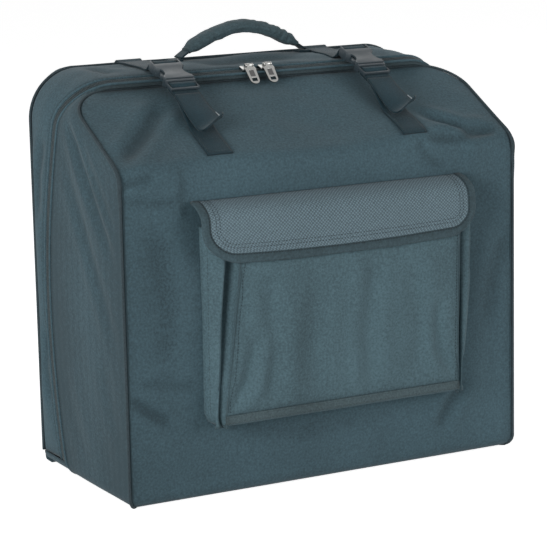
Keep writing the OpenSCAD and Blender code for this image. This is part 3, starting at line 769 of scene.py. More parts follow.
# %% Zip line and rows
ZIP_HALF = 6.1 * MM
ZIP_SIDE = [Vector(p) * MM for p in (
    (46, -4), (53, 3), (60, 14), (64.5, 28), (71.5, 58), (78, 94), (84, 140), (86.5, 180), (85.5, 225),
    (80.5, 270), (73, 308), (61.5, 352), (51, 386), (42, 406), (31, 421.5), (19.76, 436.5))]
zip_side = smooth_line(ZIP_SIDE)


def zip_y(z):
    """Where the zip's centre line lies at a height, in the side view."""
    for a, b in zip(zip_side, zip_side[1:]):
        if z <= b.y:
            return a.x + (b.x - a.x) * (z - a.y) / (b.y - a.y)
    return zip_side[-1].x


BAND_SIDE = Vector((0, 0.985, 0.17))
BAND_TOP = Vector((0, 0.9445, 0.3285))
BACK_SEAM = 3.5 * MM
STEP = 4 * MM
LOW_STEPS = 4
SLOPE_STEPS = 14
CORNER_STEPS = 18
TOP_COLUMNS = 92


def side_rows(inset=0.0):
    """Rows of the left side from the base to the top: front seam, zip line, across the zip, back seam."""
    rows = []
    half = HALF_W - inset

    def add(x, front_x, q, z, back_z, share):
        f = profile(q, inset)
        across = BAND_SIDE.lerp(BAND_TOP, share).normalized()
        rows.append((Vector((-front_x, f.x, f.y)), Vector((-x, zip_y(z), z)), across,
                     Vector((-x, BACK_Y - BACK_SEAM, back_z))))

    for k in range(LOW_STEPS):
        turn = math.pi / 2 * k / LOW_STEPS
        s, c = math.sin(turn), math.cos(turn)
        x = half - ROUND_LOW + ROUND_LOW * s
        z = ROUND_LOW * (1 - c) + inset * c
        add(x, x, -arc_l * (1 - k / LOW_STEPS), z, z, 0)
    count = round(face_l / STEP)
    for k in range(count):
        q = face_l * k / count
        add(half, half, q, ROUND_LOW + q, ROUND_LOW + q, 0)
    high = TOP_Z - CORNER_R
    for k in range(SLOPE_STEPS):
        t = k / SLOPE_STEPS
        z = FOLD_Z + (high - FOLD_Z) * t
        add(half, half, face_l + (Q_CORNER - face_l) * t, z, z, 0)
    for k in range(CORNER_STEPS + 1):
        turn = math.pi / 2 * k / CORNER_STEPS
        s, c = math.sin(turn), math.cos(turn)
        x = HALF_W - CORNER_R + (CORNER_R - inset) * c
        z = high + (zip_side[-1].y - inset - high) * s
        back_z = high + (CORNER_R - inset) * s
        front_x = HALF_W - PLANE_R + (PLANE_R - inset) * c
        add(x, front_x, Q_CORNER + PLANE_R * s, z, back_z, k / CORNER_STEPS)
    return rows


def around(inset=0.0):
    """Rows up the left side, across the top and down the right side."""
    left = side_rows(inset)
    f, m, across, b = left[-1]
    top = []
    for k in range(1, TOP_COLUMNS):
        t = 1 - 2 * k / TOP_COLUMNS
        front, middle, back = (Vector((p.x * t, p.y, p.z)) for p in (f, m, b))
        top.append((front, middle, across, back))
    flip = Vector((-1, 1, 1))
    right_side = [tuple(p * flip for p in row) for row in reversed(left)]
    return left + top + right_side


rows = around()
print("rows round the case:", len(rows))

# %% [markdown]
# The front panel is one padded piece from under the lower edge to the crest. It could
# be a box with a bevel, but a real panel is stitched on three sides and soft between.
# The folds are where the real one has them: a crease down each end of the slope from
# the straps to the fold, and small dents above the lower corners.

# %% Front panel
FRONT_FOLDS = (
    ([(-142, -18, 409), (-180, -56, 389), (-228, -100, 366)], 2.6, 9),
    ([(-200, -116, 352), (-236, -118, 345)], 1.6, 6),
    ([(-238, -118, 329), (-200, -118, 323), (-165, -118, 322)], 1.2, 6),
    ([(145, -66, 384), (191, -101, 366), (224, -101, 366)], 2.4, 8),
    ([(126, -111, 360), (180, -112, 360), (228, -104, 363)], 2.2, 7),
    ([(118, -112, 359), (126, -118, 345), (146, -118, 330)], 1.8, 6),
    ([(-239, -118, 122), (-214, -118, 103), (-190, -118, 86)], 2.6, 6),
    ([(-234, -118, 136), (-195, -118, 129), (-152, -118, 123)], 1.0, 7),
    ([(172, -118, 84), (157, -118, 66), (138, -118, 34)], 1.8, 8),
    ([(236, -118, 250), (215, -118, 205), (206, -118, 150)], 1.2, 12),
    ([(-205, -118, 300), (-190, -118, 220), (-196, -118, 150)], 1.1, 14),
    ([(-120, -118, 70), (-40, -118, 58), (60, -118, 62)], 0.8, 12),
)
WAVES = (((95, 80, 130), 4.0), ((38, 40, 70), 1.8))
FRONT_COLUMNS, FACE_ROWS = 118, 122
FLAP_SEAM_X, FLAP_SEAM_HALF = 4 * MM, 168 * MM
FLAP_SEAM_LOW, FLAP_SEAM_HIGH = 318 * MM, 348 * MM
PRESS_DEPTH, PRESS_FADE = 0.8 * MM, 9 * MM


def row_lengths():
    """The places q of the front panel's rows, close together where it curves."""
    low = [-arc_l * (1 - k / LOW_STEPS) for k in range(LOW_STEPS)]
    face = [Q_CORNER * k / FACE_ROWS for k in range(FACE_ROWS)]
    turns = [math.pi / 2 * k / CORNER_STEPS for k in range(CORNER_STEPS + 1)]
    return low + face + [Q_CORNER + PLANE_R * math.sin(turn) for turn in turns]


heights = row_lengths()


def front_place(inset=0.0):
    def place(i, j):
        side_view = profile(heights[j], inset)
        return Vector((half_width(heights[j], inset) * (2 * i / FRONT_COLUMNS - 1), side_view.x, side_view.y))
    return place


front_relief = puffed(3.2, FRONT_FOLDS, WAVES)


def pressed(point, gap):
    """The front's relief, held down where the flap is sewn on above the pocket."""
    aside = max(0, abs(point.x - FLAP_SEAM_X) - FLAP_SEAM_HALF)
    above = max(0, FLAP_SEAM_LOW - point.z, point.z - FLAP_SEAM_HIGH)
    held = math.exp(-(math.hypot(aside, above) / PRESS_FADE) ** 2)
    return front_relief(point, gap) * (1 - held) - PRESS_DEPTH * held


pressed.shape = front_relief.shape
front_pad = pad("front_pad", "main_shell", (FRONT_COLUMNS, len(heights) - 1), front_place(), pressed,
                ("front_cover", "front_foam", "slope_foam"))
print("front panel corners:", len(front_pad.data.vertices))

# %% [markdown]
# One long strip makes both sides and the narrow step along the crest, as on a real
# case, where it is called the gusset. It runs from the front seam to the zip. Its long
# slanting folds, from the shoulder down towards the front, come from years of being
# pulled by the handle, and they are what makes the side look soft.

# %% Gusset
SIDE_X = -HALF_W / MM
GUSSET_FOLDS = (
    ([(SIDE_X, 14, 396), (SIDE_X, -38, 330), (SIDE_X, -97, 256)], 5.6, 7.5),
    ([(SIDE_X, 40, 370), (SIDE_X, -6, 300), (SIDE_X, -66, 214), (SIDE_X, -96, 168)], 3.6, 10),
    ([(SIDE_X, -20, 378), (SIDE_X, -62, 332), (SIDE_X, -104, 288)], 2.8, 6.5),
    ([(SIDE_X, -58, 359), (SIDE_X, -80, 370)], 1.4, 4),
    ([(SIDE_X, -88, 214), (SIDE_X, -114, 192)], 1.8, 6),
    ([(SIDE_X, -60, 150), (SIDE_X, -80, 95), (SIDE_X, -106, 62)], 2.0, 12),
    ([(SIDE_X, 52, 120), (SIDE_X, 30, 70), (SIDE_X, -10, 26)], 1.8, 13),
    ([(SIDE_X, -112, 330), (SIDE_X, -108, 250), (SIDE_X, -110, 180)], 1.2, 8),
    ([(-SIDE_X, 10, 390), (-SIDE_X, -40, 320), (-SIDE_X, -90, 240)], 3.4, 10),
    ([(-SIDE_X, 44, 330), (-SIDE_X, 0, 230), (-SIDE_X, -50, 150)], 2.4, 13),
    ([(-SIDE_X, -70, 130), (-SIDE_X, -96, 70)], 1.8, 9),
)
SIDE_WAVES = (((80, 70, 150), 3.4), ((40, 30, 90), 1.4))
GUSSET_CELLS = 44
low_edge = [m - across * ZIP_HALF for f, m, across, b in rows]
high_edge = [m + across * ZIP_HALF for f, m, across, b in rows]


def gusset_place(i, j):
    return rows[i][0].lerp(low_edge[i], j / GUSSET_CELLS)


gusset_pad = pad("gusset_pad", "main_shell", (len(rows) - 1, GUSSET_CELLS), gusset_place,
                 puffed(3.4, GUSSET_FOLDS, SIDE_WAVES),
                 ("gusset_cover", "side_foam_left", "side_foam_right"))
print("gusset corners:", len(gusset_pad.data.vertices))

# %% [markdown]
# The base is a flat pad over a stiff board. Behind the zip its cover turns up a little
# at each side, so that the lid's side closes against it. The turned-up cloth follows
# the same quarter round as the rest of the lower edge.

# %% Base
BASE_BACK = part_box("base_cover")[1].y
BASE_T = 6.2 * MM
base_half = HALF_W - ROUND_LOW
BASE_CELLS, TURN_UP_CELLS = (60, 30), (14, 8)
BASE_LIFT = 0.3 * MM
TURN_UP_T, TURN_UP_LIFT, TURN_UP_SHARE = 1.6 * MM, 0.2 * MM, 0.955


def base_place(i, j):
    front = FRONT_Y + ROUND_LOW
    x = base_half * (2 * i / BASE_CELLS[0] - 1)
    return Vector((x, BASE_BACK + (front - BASE_BACK) * j / BASE_CELLS[1], BASE_LIFT))


base_pad = sheet("base_pad", "main_shell", "shell_fabric", *BASE_CELLS, base_place)
thicken(base_pad, BASE_T)
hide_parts("base_cover", "base_foam")


def base_turn_up(side):
    """The quarter round behind the zip, on one side. It stays a little below the lid's side."""
    columns, rises = TURN_UP_CELLS

    def place(i, j):
        turn = math.pi / 2 * j / rises
        share = i / columns if side == RIGHT else 1 - i / columns
        z = ROUND_LOW * (1 - math.cos(turn))
        front = zip_y(z) - ZIP_HALF
        return Vector((side * (base_half + ROUND_LOW * math.sin(turn)), front + (BASE_BACK - front) * share,
                       TURN_UP_SHARE * z + TURN_UP_LIFT))
    name = f"base_turn_up_{WORDS[side]}"
    return thicken(sheet(name, "main_shell", "shell_fabric", columns, rises, place), TURN_UP_T)


for side in (LEFT, RIGHT):
    base_turn_up(side)
print("base", round(2 * base_half / MM), "mm wide")

# %% [markdown]
# The lid is a shallow tray: a padded back and a padded strip round it. The strip is
# made as the gusset is, from the zip to the back seam, and only above the base, where
# the lid ends. Its upper stretch sags a little between the handle's ends.

# %% Lid
LID_FOLDS = (
    ([(SIDE_X, 78, 372), (SIDE_X, 100, 330), (SIDE_X, 104, 280)], 1.5, 8),
    ([(SIDE_X, 96, 160), (SIDE_X, 100, 110), (SIDE_X, 88, 70)], 1.5, 8),
    ([(-60, 60, 440), (0, 70, 441), (70, 62, 440)], 1.6, 14),
    ([(-170, 50, 440), (-178, 90, 443)], 1.2, 8),
    ([(160, 46, 440), (172, 92, 443)], 1.2, 8),
)
LID_FOOT = ROUND_LOW - 0.1 * MM
LID_CELLS = 16
lid_rows = [k for k, row in enumerate(rows) if row[1].z > LID_FOOT]


def lid_band_place(i, j):
    k = lid_rows[i]
    return high_edge[k].lerp(rows[k][3], j / LID_CELLS)


lid_band_pad = pad("lid_band_pad", "lid", (len(lid_rows) - 1, LID_CELLS), lid_band_place,
                   puffed(2.0, LID_FOLDS, SIDE_WAVES),
                   ("lid_band_cover", "lid_side_foam_left", "lid_side_foam_right", "lid_top_foam"))

back_rows = [row[3] for row in side_rows() if row[1].z > LID_FOOT]
BACK_COLUMNS = 116
BACK_DENT = 0.6 * MM
BACK_FOLDS = (
    ([(-150, 118, 380), (-60, 118, 300), (40, 118, 250)], 1.6, 14),
    ([(170, 118, 330), (120, 118, 220), (150, 118, 120)], 1.4, 13),
    ([(-180, 118, 160), (-100, 118, 90), (0, 118, 70)], 1.5, 12),
)


def back_place(i, j):
    row = back_rows[j]
    return Vector((row.x * (2 * i / BACK_COLUMNS - 1), BACK_Y - BACK_DENT, row.z))


lid_back_pad = pad("lid_back_pad", "lid", (BACK_COLUMNS, len(back_rows) - 1), back_place,
                   puffed(2.4, BACK_FOLDS, WAVES), ("lid_back_cover", "lid_back_foam"), flip=True)
print("lid rows:", len(lid_rows), "back rows:", len(back_rows))

# %% [markdown]
# With the lid open the lining shows: a thin smooth cloth that follows the padding
# inside. The same rules with an inset make it, turned over so that it faces inwards,
# and it is slacker than the outer cloth, so its ripples are deeper.

# %% Linings
LINING_T = 0.8 * MM
SKIN_IN = 9.6 * MM
BY_THE_ZIP = 2 * MM
SLACK_RISE = 1.2 * MM
SLACK_WAVES = (((70, 60, 90), 2.0), ((30, 26, 40), 0.9))
GUSSET_LINING, BAND_LINING, BACK_LINING, FLOOR_LINING = 30, 14, 80, (60, 30)
inner_rows = around(SKIN_IN)


def slack(inwards):
    """Ripples that only ever move a lining into the case."""
    def relief(point, gap):
        seam = 1 - math.exp(-gap / (12 * MM))
        waves = sum(ripple(point, *wave, 5.1 + k) for k, wave in enumerate(SLACK_WAVES))
        return inwards * seam * (SLACK_RISE + waves)
    return relief


def lining(name, body, nu, nv, place, flat, flip=True, inwards=-1):
    piece = sheet(name, body, "lining", nu, nv, place, slack(inwards), flip=flip)
    thicken(piece, LINING_T)
    return piece


def gusset_lining_place(i, j):
    front, middle, across = inner_rows[i][:3]
    return front.lerp(middle - across * BY_THE_ZIP, j / GUSSET_LINING)


def lid_lining_place(i, j):
    middle, across, back = inner_rows[lid_rows[i]][1:]
    return (middle + across * BY_THE_ZIP).lerp(back - Vector((0, SKIN_IN - BACK_SEAM, 0)), j / BAND_LINING)


def lid_back_lining_place(i, j):
    row = inner_rows[lid_rows[j]][3]
    return Vector((row.x * (2 * i / BACK_LINING - 1), BACK_Y - SKIN_IN, row.z))


def floor_lining_place(i, j):
    half = HALF_W - SKIN_IN
    front, back = FRONT_Y + SKIN_IN, BASE_BACK - 4 * MM
    columns, steps = FLOOR_LINING
    return Vector((half * (2 * i / columns - 1), front + (back - front) * j / steps, SKIN_IN + 0.2 * MM))


IN_W = 2 * (HALF_W - SKIN_IN)
front_lining = lining("front_lining", "main_shell", FRONT_COLUMNS, len(heights) - 5,
                      lambda i, j: front_place(SKIN_IN)(i, j + 4), (IN_W, face_l + slope_l - 10 * MM))
lining("gusset_lining", "main_shell", len(rows) - 1, GUSSET_LINING, gusset_lining_place, (1.27, 0.135))
lining("floor_lining", "main_shell", *FLOOR_LINING, floor_lining_place, (IN_W, 0.21), flip=False, inwards=1)
lining("lid_band_lining", "lid", len(lid_rows) - 1, BAND_LINING, lid_lining_place, (1.27, 0.042))
half_count = len([k for k in lid_rows if k < len(side_rows())])
back_lining = lining("lid_back_lining", "lid", BACK_LINING, half_count - 1, lid_back_lining_place,
                     (IN_W, 0.42), flip=False)
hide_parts("main_lining")
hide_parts("lid_lining")
print("linings: 5")

# %% [markdown]
# A thin dark cord, the piping, covers the seam round the front and the back. It is
# cloth round a string, so it is a bar along the seam line, set a little out from the
# corner. Where the front folds, the spare cloth gathers, and the cord grows thick and
# wavy for a few centimetres.

# %% Piping
PIPE_R = 1.5 * MM
GATHER = 20 * MM
GATHER_BELOW = 12 * MM
GATHER_PITCH = 5.2 * MM
BACK_CORD = (4.8 * MM, 3.6 * MM)
inside_rows = around(10 * MM)
front_outs = [(row[0] - inner[0]).normalized() for row, inner in zip(rows, inside_rows)]


def gathered(point):
    """How much the cord bunches up at a point: one at the fold, nothing away from it."""
    if abs(point.x) < HALF_W - 1 * MM:
        return 0.0
    return math.exp(-((point.z - FOLD_Z + GATHER_BELOW) / GATHER) ** 2)


pipe_line = []
for row, out in zip(rows, front_outs):
    point = row[0]
    wave = math.sin(point.z / GATHER_PITCH) * gathered(point)
    lift = (0.2 + 0.5 * gathered(point)) * MM
    pipe_line.append(point + out * lift + Vector((0, wave * 1.1 * MM, wave * 0.5 * MM)))
pipe_track = Track(pipe_line)


def pipe_section(share, turn):
    r = PIPE_R * (1 + 0.55 * gathered(pipe_track.at(share)))
    return r * math.cos(turn), r * math.sin(turn)


front_cord = swept("front_cord", "main_shell", "piping", pipe_line, front_outs, 700, pipe_section, around=8)
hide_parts("front_piping")

back_line, back_outs = [], []
for k in lid_rows:
    corner = rows[k][3]
    out = corner - inside_rows[k][3]
    out.y = 0
    back_line.append(corner + Vector((0, 1.9 * MM, 0)) + out.normalized() * -0.4 * MM)
    back_outs.append((out.normalized() + Vector((0, 0.4, 0))).normalized())
back_cord = swept("back_cord", "lid", "piping", back_line, back_outs, 500, oval(*BACK_CORD), around=8)
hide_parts("lid_piping")
print("piping:", round(Track(pipe_line).length, 2), "m and", round(Track(back_line).length, 2), "m")

# %% [markdown]
# The zip fills the band between the two covers. From outside to inside there are the
# covers' turned edges, the woven tapes a little lower, and two rows of nylon coil that
# mesh. The zip's own directions come from its line: ahead, across and out. The tapes
# reach from under the covers to the middle, so that no light shows between them.

# %% Zip edges and tapes
TAPE_GAP, TAPE_REACH = 0.05, 10.85
TAPE_CELLS = 6
TAPE_T = 0.6 * MM
EDGE_OVAL = (3.4 * MM, 3.0 * MM, 0.8)
MID = [row[1] for row in rows]
ACROSS = [row[2] for row in rows]
OUT = []
for k, point in enumerate(MID):
    ahead = (MID[min(k + 1, len(MID) - 1)] - MID[max(k - 1, 0)]).normalized()
    OUT.append(ahead.cross(ACROSS[k]).normalized())


def zip_line(rows_used, across_mm, out_mm):
    return [MID[k] + ACROSS[k] * across_mm * MM + OUT[k] * out_mm * MM for k in rows_used]


def turned_edge(name, body, rows_used, side):
    """The rolled edge of a cover beside the zip."""
    line = zip_line(rows_used, side * (ZIP_HALF / MM + 0.2), -1.1)
    outs = [OUT[k] - ACROSS[k] * side * 0.4 for k in rows_used]
    return swept(name, body, "shell_fabric", line, outs, 620, oval(*EDGE_OVAL), around=8)


def tape(name, body, rows_used, side):
    """One woven tape, from under the cover to the middle of the zip."""
    def place(i, j):
        k = rows_used[i]
        far = TAPE_GAP + TAPE_REACH * (j / TAPE_CELLS if side > 0 else 1 - j / TAPE_CELLS)
        deep = 1.5 + 0.06 * far + 0.5 * max(0, far - 7)
        return MID[k] + ACROSS[k] * side * far * MM - OUT[k] * deep * MM
    piece = thicken(sheet(name, body, "zip_tape", len(rows_used) - 1, TAPE_CELLS, place), TAPE_T)
    Track(zip_line(rows_used, 0, 0)).length
    return piece


main_rows = list(range(1, len(rows) - 1))
turned_edge("main_zip_edge", "main_shell", main_rows, -1)
turned_edge("lid_zip_edge", "lid", lid_rows, 1)
main_tape = tape("main_tape", "main_shell", main_rows, -1)
lid_tape = tape("lid_tape", "lid", lid_rows, 1)
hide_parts("zip_tape_main")
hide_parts("zip_tape_lid")
print("zip tapes:", round(Track(zip_line(main_rows, 0, 0)).length, 2), "m")

# %% [markdown]
# A nylon zip's teeth are the turns of a coil. Each turn is a small bead laid across the
# tape, and the two rows are half a turn apart, so that they mesh. There are about 900
# in each row, so one bead is built with a few faces and its points are copied, which is
# far quicker than making each bead anew. Threads use the same beads later.

# %% Beads and zip coils
TURN_PITCH = 1.45 * MM
TURN_SIZE = (3.3 * MM, 1.05 * MM, 1.5 * MM)
TURN_LEAN = 0.16
COIL_ASIDE, COIL_OUT = 1.75, -0.9


def beads(name, body, material, places, size, cuts=(6, 4), slot_name=None):
    """One small rounded bead at each place. A place is (point, long direction, upward direction)."""
    pattern = bmesh.new()
    bmesh.ops.create_uvsphere(pattern, u_segments=cuts[0], v_segments=cuts[1], radius=1)
    corners = [Vector((v.co.x * size[0], v.co.y * size[1], v.co.z * size[2])) / 2 for v in pattern.verts]
    sides = [[v.index for v in face.verts] for face in pattern.faces]
    pattern.free()
    points, faces = [], []
    for point, ahead, out in places:
        side = out.cross(ahead).normalized()
        turn = Matrix((ahead, side, ahead.cross(side))).transposed()
        faces += [[k + len(points) for k in face] for face in sides]
        points += [point + turn @ corner for corner in corners]
    mesh = bpy.data.meshes.new(name)
    mesh.from_pydata(points, [], faces)
    bm = bmesh.new()
    bm.from_mesh(mesh)
    bpy.data.meshes.remove(mesh)
    return to_object(bm, name, body, material, slot_name)


def coil(name, body, rows_used, side):
    """A row of coil turns, each laid across the tape and leaning a little along it."""
    line = zip_line(rows_used, side * COIL_ASIDE, COIL_OUT)
    track = Track(line, [OUT[k] for k in rows_used])
    crossing = Track(line, [ACROSS[k] for k in rows_used])
    count = int(track.length / TURN_PITCH)
    places = []
    for n in range(count):
        share = (n + (0.5 if side > 0 else 0)) / count
        ahead = (crossing.side(share) + track.heading(share) * TURN_LEAN).normalized()
        places.append((track.at(share), ahead, track.side(share)))
    return beads(name, body, "zip_teeth", places, TURN_SIZE, cuts=(4, 4))


main_coil = coil("main_coil", "main_shell", main_rows, -1)
lid_coil = coil("lid_coil", "lid", lid_rows, 1)
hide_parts("zip_teeth_main")
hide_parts("zip_teeth_lid")
print("coil turns:", len(main_coil.data.polygons) // 16 * 2)

# %% [markdown]
# Sewing is what tells a bag from a box. Every line of thread here is real geometry: a
# row of short beads that lie on the cloth, each half sunk. To find the cloth, the line
# is first laid near it, and each stitch then drops to the closest point of the mesh.

# %% Thread
ZIP_SEAM = 4.2


def surface_of(piece):
    return BVHTree.FromObject(piece, bpy.context.evaluated_depsgraph_get())


def stitches(name, body, line, cloth_piece, pitch=3.3, length=2.5, width=0.55, material="thread"):
    """A row of stitches along a line, on the cloth. Pitch, length and width are in millimetres."""
    bpy.context.view_layer.update()
    surface = surface_of(cloth_piece)
    track = Track(line)
    count = max(2, int(track.length / (pitch * MM)))
    places = []
    for n in range(count):
        share = (n + 0.5) / count
        spot, normal = surface.find_nearest(track.at(share))[:2]
        ahead = track.heading(share)
        ahead = (ahead - normal * ahead.dot(normal)).normalized()
        places.append((spot + normal * 0.12 * MM, ahead, normal))
    return beads(name, body, material, places, (length * MM, width * MM, width * MM),
                 slot_name="shell_fabric" if body != "pocket_flap" else "ballistic_fabric")


def edge_line(rows_used, side, inwards):
    return zip_line(rows_used, side * (ZIP_HALF / MM + inwards), 0)


main_seam = stitches("main_zip_stitches", "main_shell", edge_line(main_rows, -1, ZIP_SEAM), gusset_pad)
lid_seam = stitches("lid_zip_stitches", "lid", edge_line(lid_rows, 1, ZIP_SEAM), lid_band_pad)
print("stitches by the zip:", len(main_seam.data.polygons) // 24 + len(lid_seam.data.polygons) // 24)

# %% [markdown]
# The lid hangs on a strip of the cover's cloth, sewn under the base and up the back. It
# runs along the base at one end and up the lid at the other, and turns smoothly between.

# %% Hinge strip
STRIP_SIDE = ((100, 0.15), (111, 0.2), (116.5, 0.9), (118.3, 4), (118.7, 10), (118.5, 27))
STRIP_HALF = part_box("hinge_strip")[1].x
STRIP_COLUMNS = 96
strip_line = smooth_line([Vector(p) * MM for p in STRIP_SIDE], per=5)


def strip_place(i, j):
    return Vector((STRIP_HALF * (1 - 2 * i / STRIP_COLUMNS), strip_line[j].x, strip_line[j].y))


hinge_cloth = sheet("hinge_cloth", None, "shell_fabric", STRIP_COLUMNS, len(strip_line) - 1, strip_place)
thicken(hinge_cloth, 1.0 * MM)
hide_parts("hinge_strip")
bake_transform(hinge_cloth)
for number, (y, z) in enumerate(((104, 0), (118.6, 22))):
    line = [Vector((x * MM, y * MM, z * MM)) for x in range(-232, 233, 8)]
    stitches(f"hinge_stitches_{number}", "lid" if z else "main_shell", line, hinge_cloth)
print("hinge strip", round(2 * STRIP_HALF / MM), "mm wide")

# %% [markdown]
# The pocket stands out from the front on folded sides, its bellows. The panel is one
# layer of cloth, wider at the foot than at the mouth. It bulges below the flap only,
# because the flap lies on it above.

# %% Pocket panel
panel_low, panel_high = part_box("pocket_panel")
FOOT_Z = panel_low.z + 5 * MM
MOUTH_Z = panel_high.z + 1 * MM
PANEL_Y = panel_low.y - 0.2 * MM
POCKET_FOLDS = (
    ([(-137, -146, 96), (-112, -146, 128), (-98, -146, 180)], 2.4, 8),
    ([(-84, -146, 100), (-78, -146, 170), (-86, -146, 240)], 1.9, 10),
    ([(-30, -146, 98), (-34, -146, 150), (-22, -146, 246)], 1.5, 12),
    ([(40, -146, 96), (34, -146, 170), (44, -146, 248)], 2.0, 10),
    ([(92, -146, 100), (100, -146, 160), (90, -146, 240)], 1.2, 11),
    ([(149, -146, 98), (126, -146, 132), (122, -146, 190)], 2.2, 7),
    ([(-130, -146, 250), (-100, -146, 232), (-40, -146, 226)], 1.2, 10),
)
POCKET_WAVES = (((52, 60, 140), 2.6), ((26, 40, 60), 0.9))
PANEL_CELLS = (96, 64)
UNDER_FLAP = (0.238, 0.262)
pocket_relief = puffed(4.2, POCKET_FOLDS, POCKET_WAVES, tuck=0.8, floor_safe=False)


def smooth_step(low, high, value):
    t = min(1, max(0, (value - low) / (high - low)))
    return t * t * (3 - 2 * t)


def panel_edge(side, share):
    """Where the panel ends at a share of its height."""
    return (-138.5 + 27 * share) * MM if side == LEFT else (149.5 + 4.5 * share) * MM


def panel_place(i, j):
    share = j / PANEL_CELLS[1]
    left, far = panel_edge(LEFT, share), panel_edge(RIGHT, share)
    return Vector((left + (far - left) * i / PANEL_CELLS[0], PANEL_Y, FOOT_Z + (MOUTH_Z - FOOT_Z) * share))


pocket_cloth = sheet("pocket_cloth", "main_shell", "pocket_fabric", *PANEL_CELLS, panel_place,
                     lambda point, gap: pocket_relief(point, gap) * (1 - smooth_step(*UNDER_FLAP, point.z)),
                     slot_name="shell_fabric")
thicken(pocket_cloth, 1.6 * MM)
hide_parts("pocket_panel")
print("pocket panel:", round((MOUTH_Z - FOOT_Z) / MM), "mm high")

# %% [markdown]
# Each side of the pocket is a loft: the same folded section at every height, deep and
# open at the mouth and nearly closed at the foot, which leaves the dark gap that the
# real one has along the left of the panel. Its seam on the front curves in at the foot.

# %% Pocket bellows
SEAM_L, SEAM_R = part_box("pocket_gusset_left")[0].x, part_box("pocket_gusset_right")[1].x + 2 * MM
BELLOWS_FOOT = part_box("pocket_gusset_bottom")[0].z + 0.5 * MM
BELLOWS_STEPS = 50
BELLOWS_T = 1.3 * MM
CORNER_RISE = 20 * MM


def seam_x(side, z):
    """The bellows' seam on the front, which curves in at the foot."""
    lift = max(0, 1 - (z - BELLOWS_FOOT) / CORNER_RISE)
    curve = 1 - math.sqrt(max(0, 1 - lift * lift))
    return SEAM_L + 12 * MM * curve if side == LEFT else SEAM_R - 10 * MM * curve


def bellows(side):
    """One folded side of the pocket, from its seam on the front to the panel's edge."""
    sections = []
    for i in range(BELLOWS_STEPS + 1):
        share = i / BELLOWS_STEPS
        z = BELLOWS_FOOT + (MOUTH_Z - 2 * MM - BELLOWS_FOOT) * share
        up_share = max(0, (z - FOOT_Z) / (MOUTH_Z - FOOT_Z))
        edge = panel_edge(side, up_share)
        seam = seam_x(side, z)
        open_by = 0.25 + 0.75 * smooth_step(0.02, 0.75, share)
        wave = 1.2 * math.sin(z / (21 * MM)) * open_by
        inward = -side
        gap = (3.0 + 11.0 * open_by) * MM
        depth = (6 + 13 * open_by) * MM
        body_out = abs(edge - seam)
        fold_x = edge - inward * gap
        points = [(seam, FRONT_Y - 0.4 * MM), (seam + inward * 0.3 * MM, FRONT_Y - 6 * MM),
                  (seam + inward * body_out * 0.18, FRONT_Y - (14 + wave) * MM),
                  (seam + inward * body_out * 0.42, FRONT_Y - (20 + wave) * MM),
                  (fold_x - inward * 3 * MM, FRONT_Y - (21.5 + 0.6 * wave) * MM),
                  (fold_x, FRONT_Y - 19.5 * MM), (fold_x + inward * gap * 0.3, PANEL_Y + depth),
                  (edge - inward * 0.5 * MM, PANEL_Y + depth * 0.5), (edge, PANEL_Y + 0.4 * MM)]
        sections.append(smooth_line([Vector((x, y, z)) for x, y in points], per=3))
    piece = sheet(f"bellows_{WORDS[side]}", "main_shell", "pocket_fabric", BELLOWS_STEPS,
                  len(sections[0]) - 1, lambda i, j: sections[i][j],
                  lambda point, gap: ripple(point, (30, 30, 44), 0.8, 3), flip=side == LEFT,
                  slot_name="shell_fabric")
    thicken(piece, BELLOWS_T, even=False)
    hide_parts(f"pocket_gusset_{WORDS[side]}")
    return piece


left_bellows, right_bellows = bellows(LEFT), bellows(RIGHT)
print("pocket:", round((SEAM_R - SEAM_L) / MM), "mm wide at the seam")

# %% [markdown]
# A strip closes the pocket below. It turns under the panel's foot and runs back to the
# front, narrowing as the seams do. A thin dark cord along the seam all the way round is
# painted shadow: it stands for the shaded gap where the bellows meet the front. The
# panel's upper edge is rolled into a hem, which is a flat bar.

# %% Pocket underside, shadow cord and hem
UNDER_COLUMNS = 80
SHADOW_CORD_PROUD = 0.7 * MM
under = smooth_line([Vector(p) * MM for p in ((-146.3, 94.5), (-146.6, 90), (-145.8, 85.5), (-141, 82.6),
                                              (-130, 81.6), (-118.4, 80.6))], per=4)


def under_place(i, j):
    """The folded underside, which is wide at the panel and closes the bellows' feet."""
    share = j / (len(under) - 1)
    left, far = (panel_edge(side, 0) + (seam_x(side, BELLOWS_FOOT) - panel_edge(side, 0)) * share
                 for side in (LEFT, RIGHT))
    return Vector((left + (far - left) * i / UNDER_COLUMNS, under[j].x, under[j].y))


under_cloth = sheet("pocket_underside", "main_shell", "pocket_fabric", UNDER_COLUMNS, len(under) - 1,
                    under_place, lambda point, gap: ripple(point, (34, 30, 30), 0.5, 9), flip=True,
                    slot_name="shell_fabric")
thicken(under_cloth, BELLOWS_T, even=False)
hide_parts("pocket_gusset_bottom")

# Painted shadow: a dark cord along the pocket's seam stands for the shaded gap there.
shadow_cord_y = FRONT_Y - SHADOW_CORD_PROUD
seam_line = [Vector((seam_x(LEFT, z * MM), shadow_cord_y, z * MM)) for z in range(292, 81, -2)]
seam_line += [Vector((x * MM, shadow_cord_y, 80 * MM)) for x in range(-138, 152, 5)]
seam_line += [Vector((seam_x(RIGHT, z * MM), shadow_cord_y, z * MM)) for z in range(82, 293, 2)]
swept("pocket_shadow_cord", "main_shell", "piping", seam_line, (0, -1, 0), 330, oval(1.7 * MM, 1.7 * MM), around=6)
hem_line = [Vector((x * MM, PANEL_Y + 0.6 * MM, panel_high.z + 2 * MM)) for x in range(-112, 155, 6)]
hem_roll = swept("hem_roll", "main_shell", "pocket_fabric", hem_line, (0, -1, 0), 46,
                 oval(5.0 * MM, 3.0 * MM, 0.7), around=10, slot_name="shell_fabric")
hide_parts("pocket_hem")
print("pocket cord:", round(Track(seam_line).length, 2), "m")

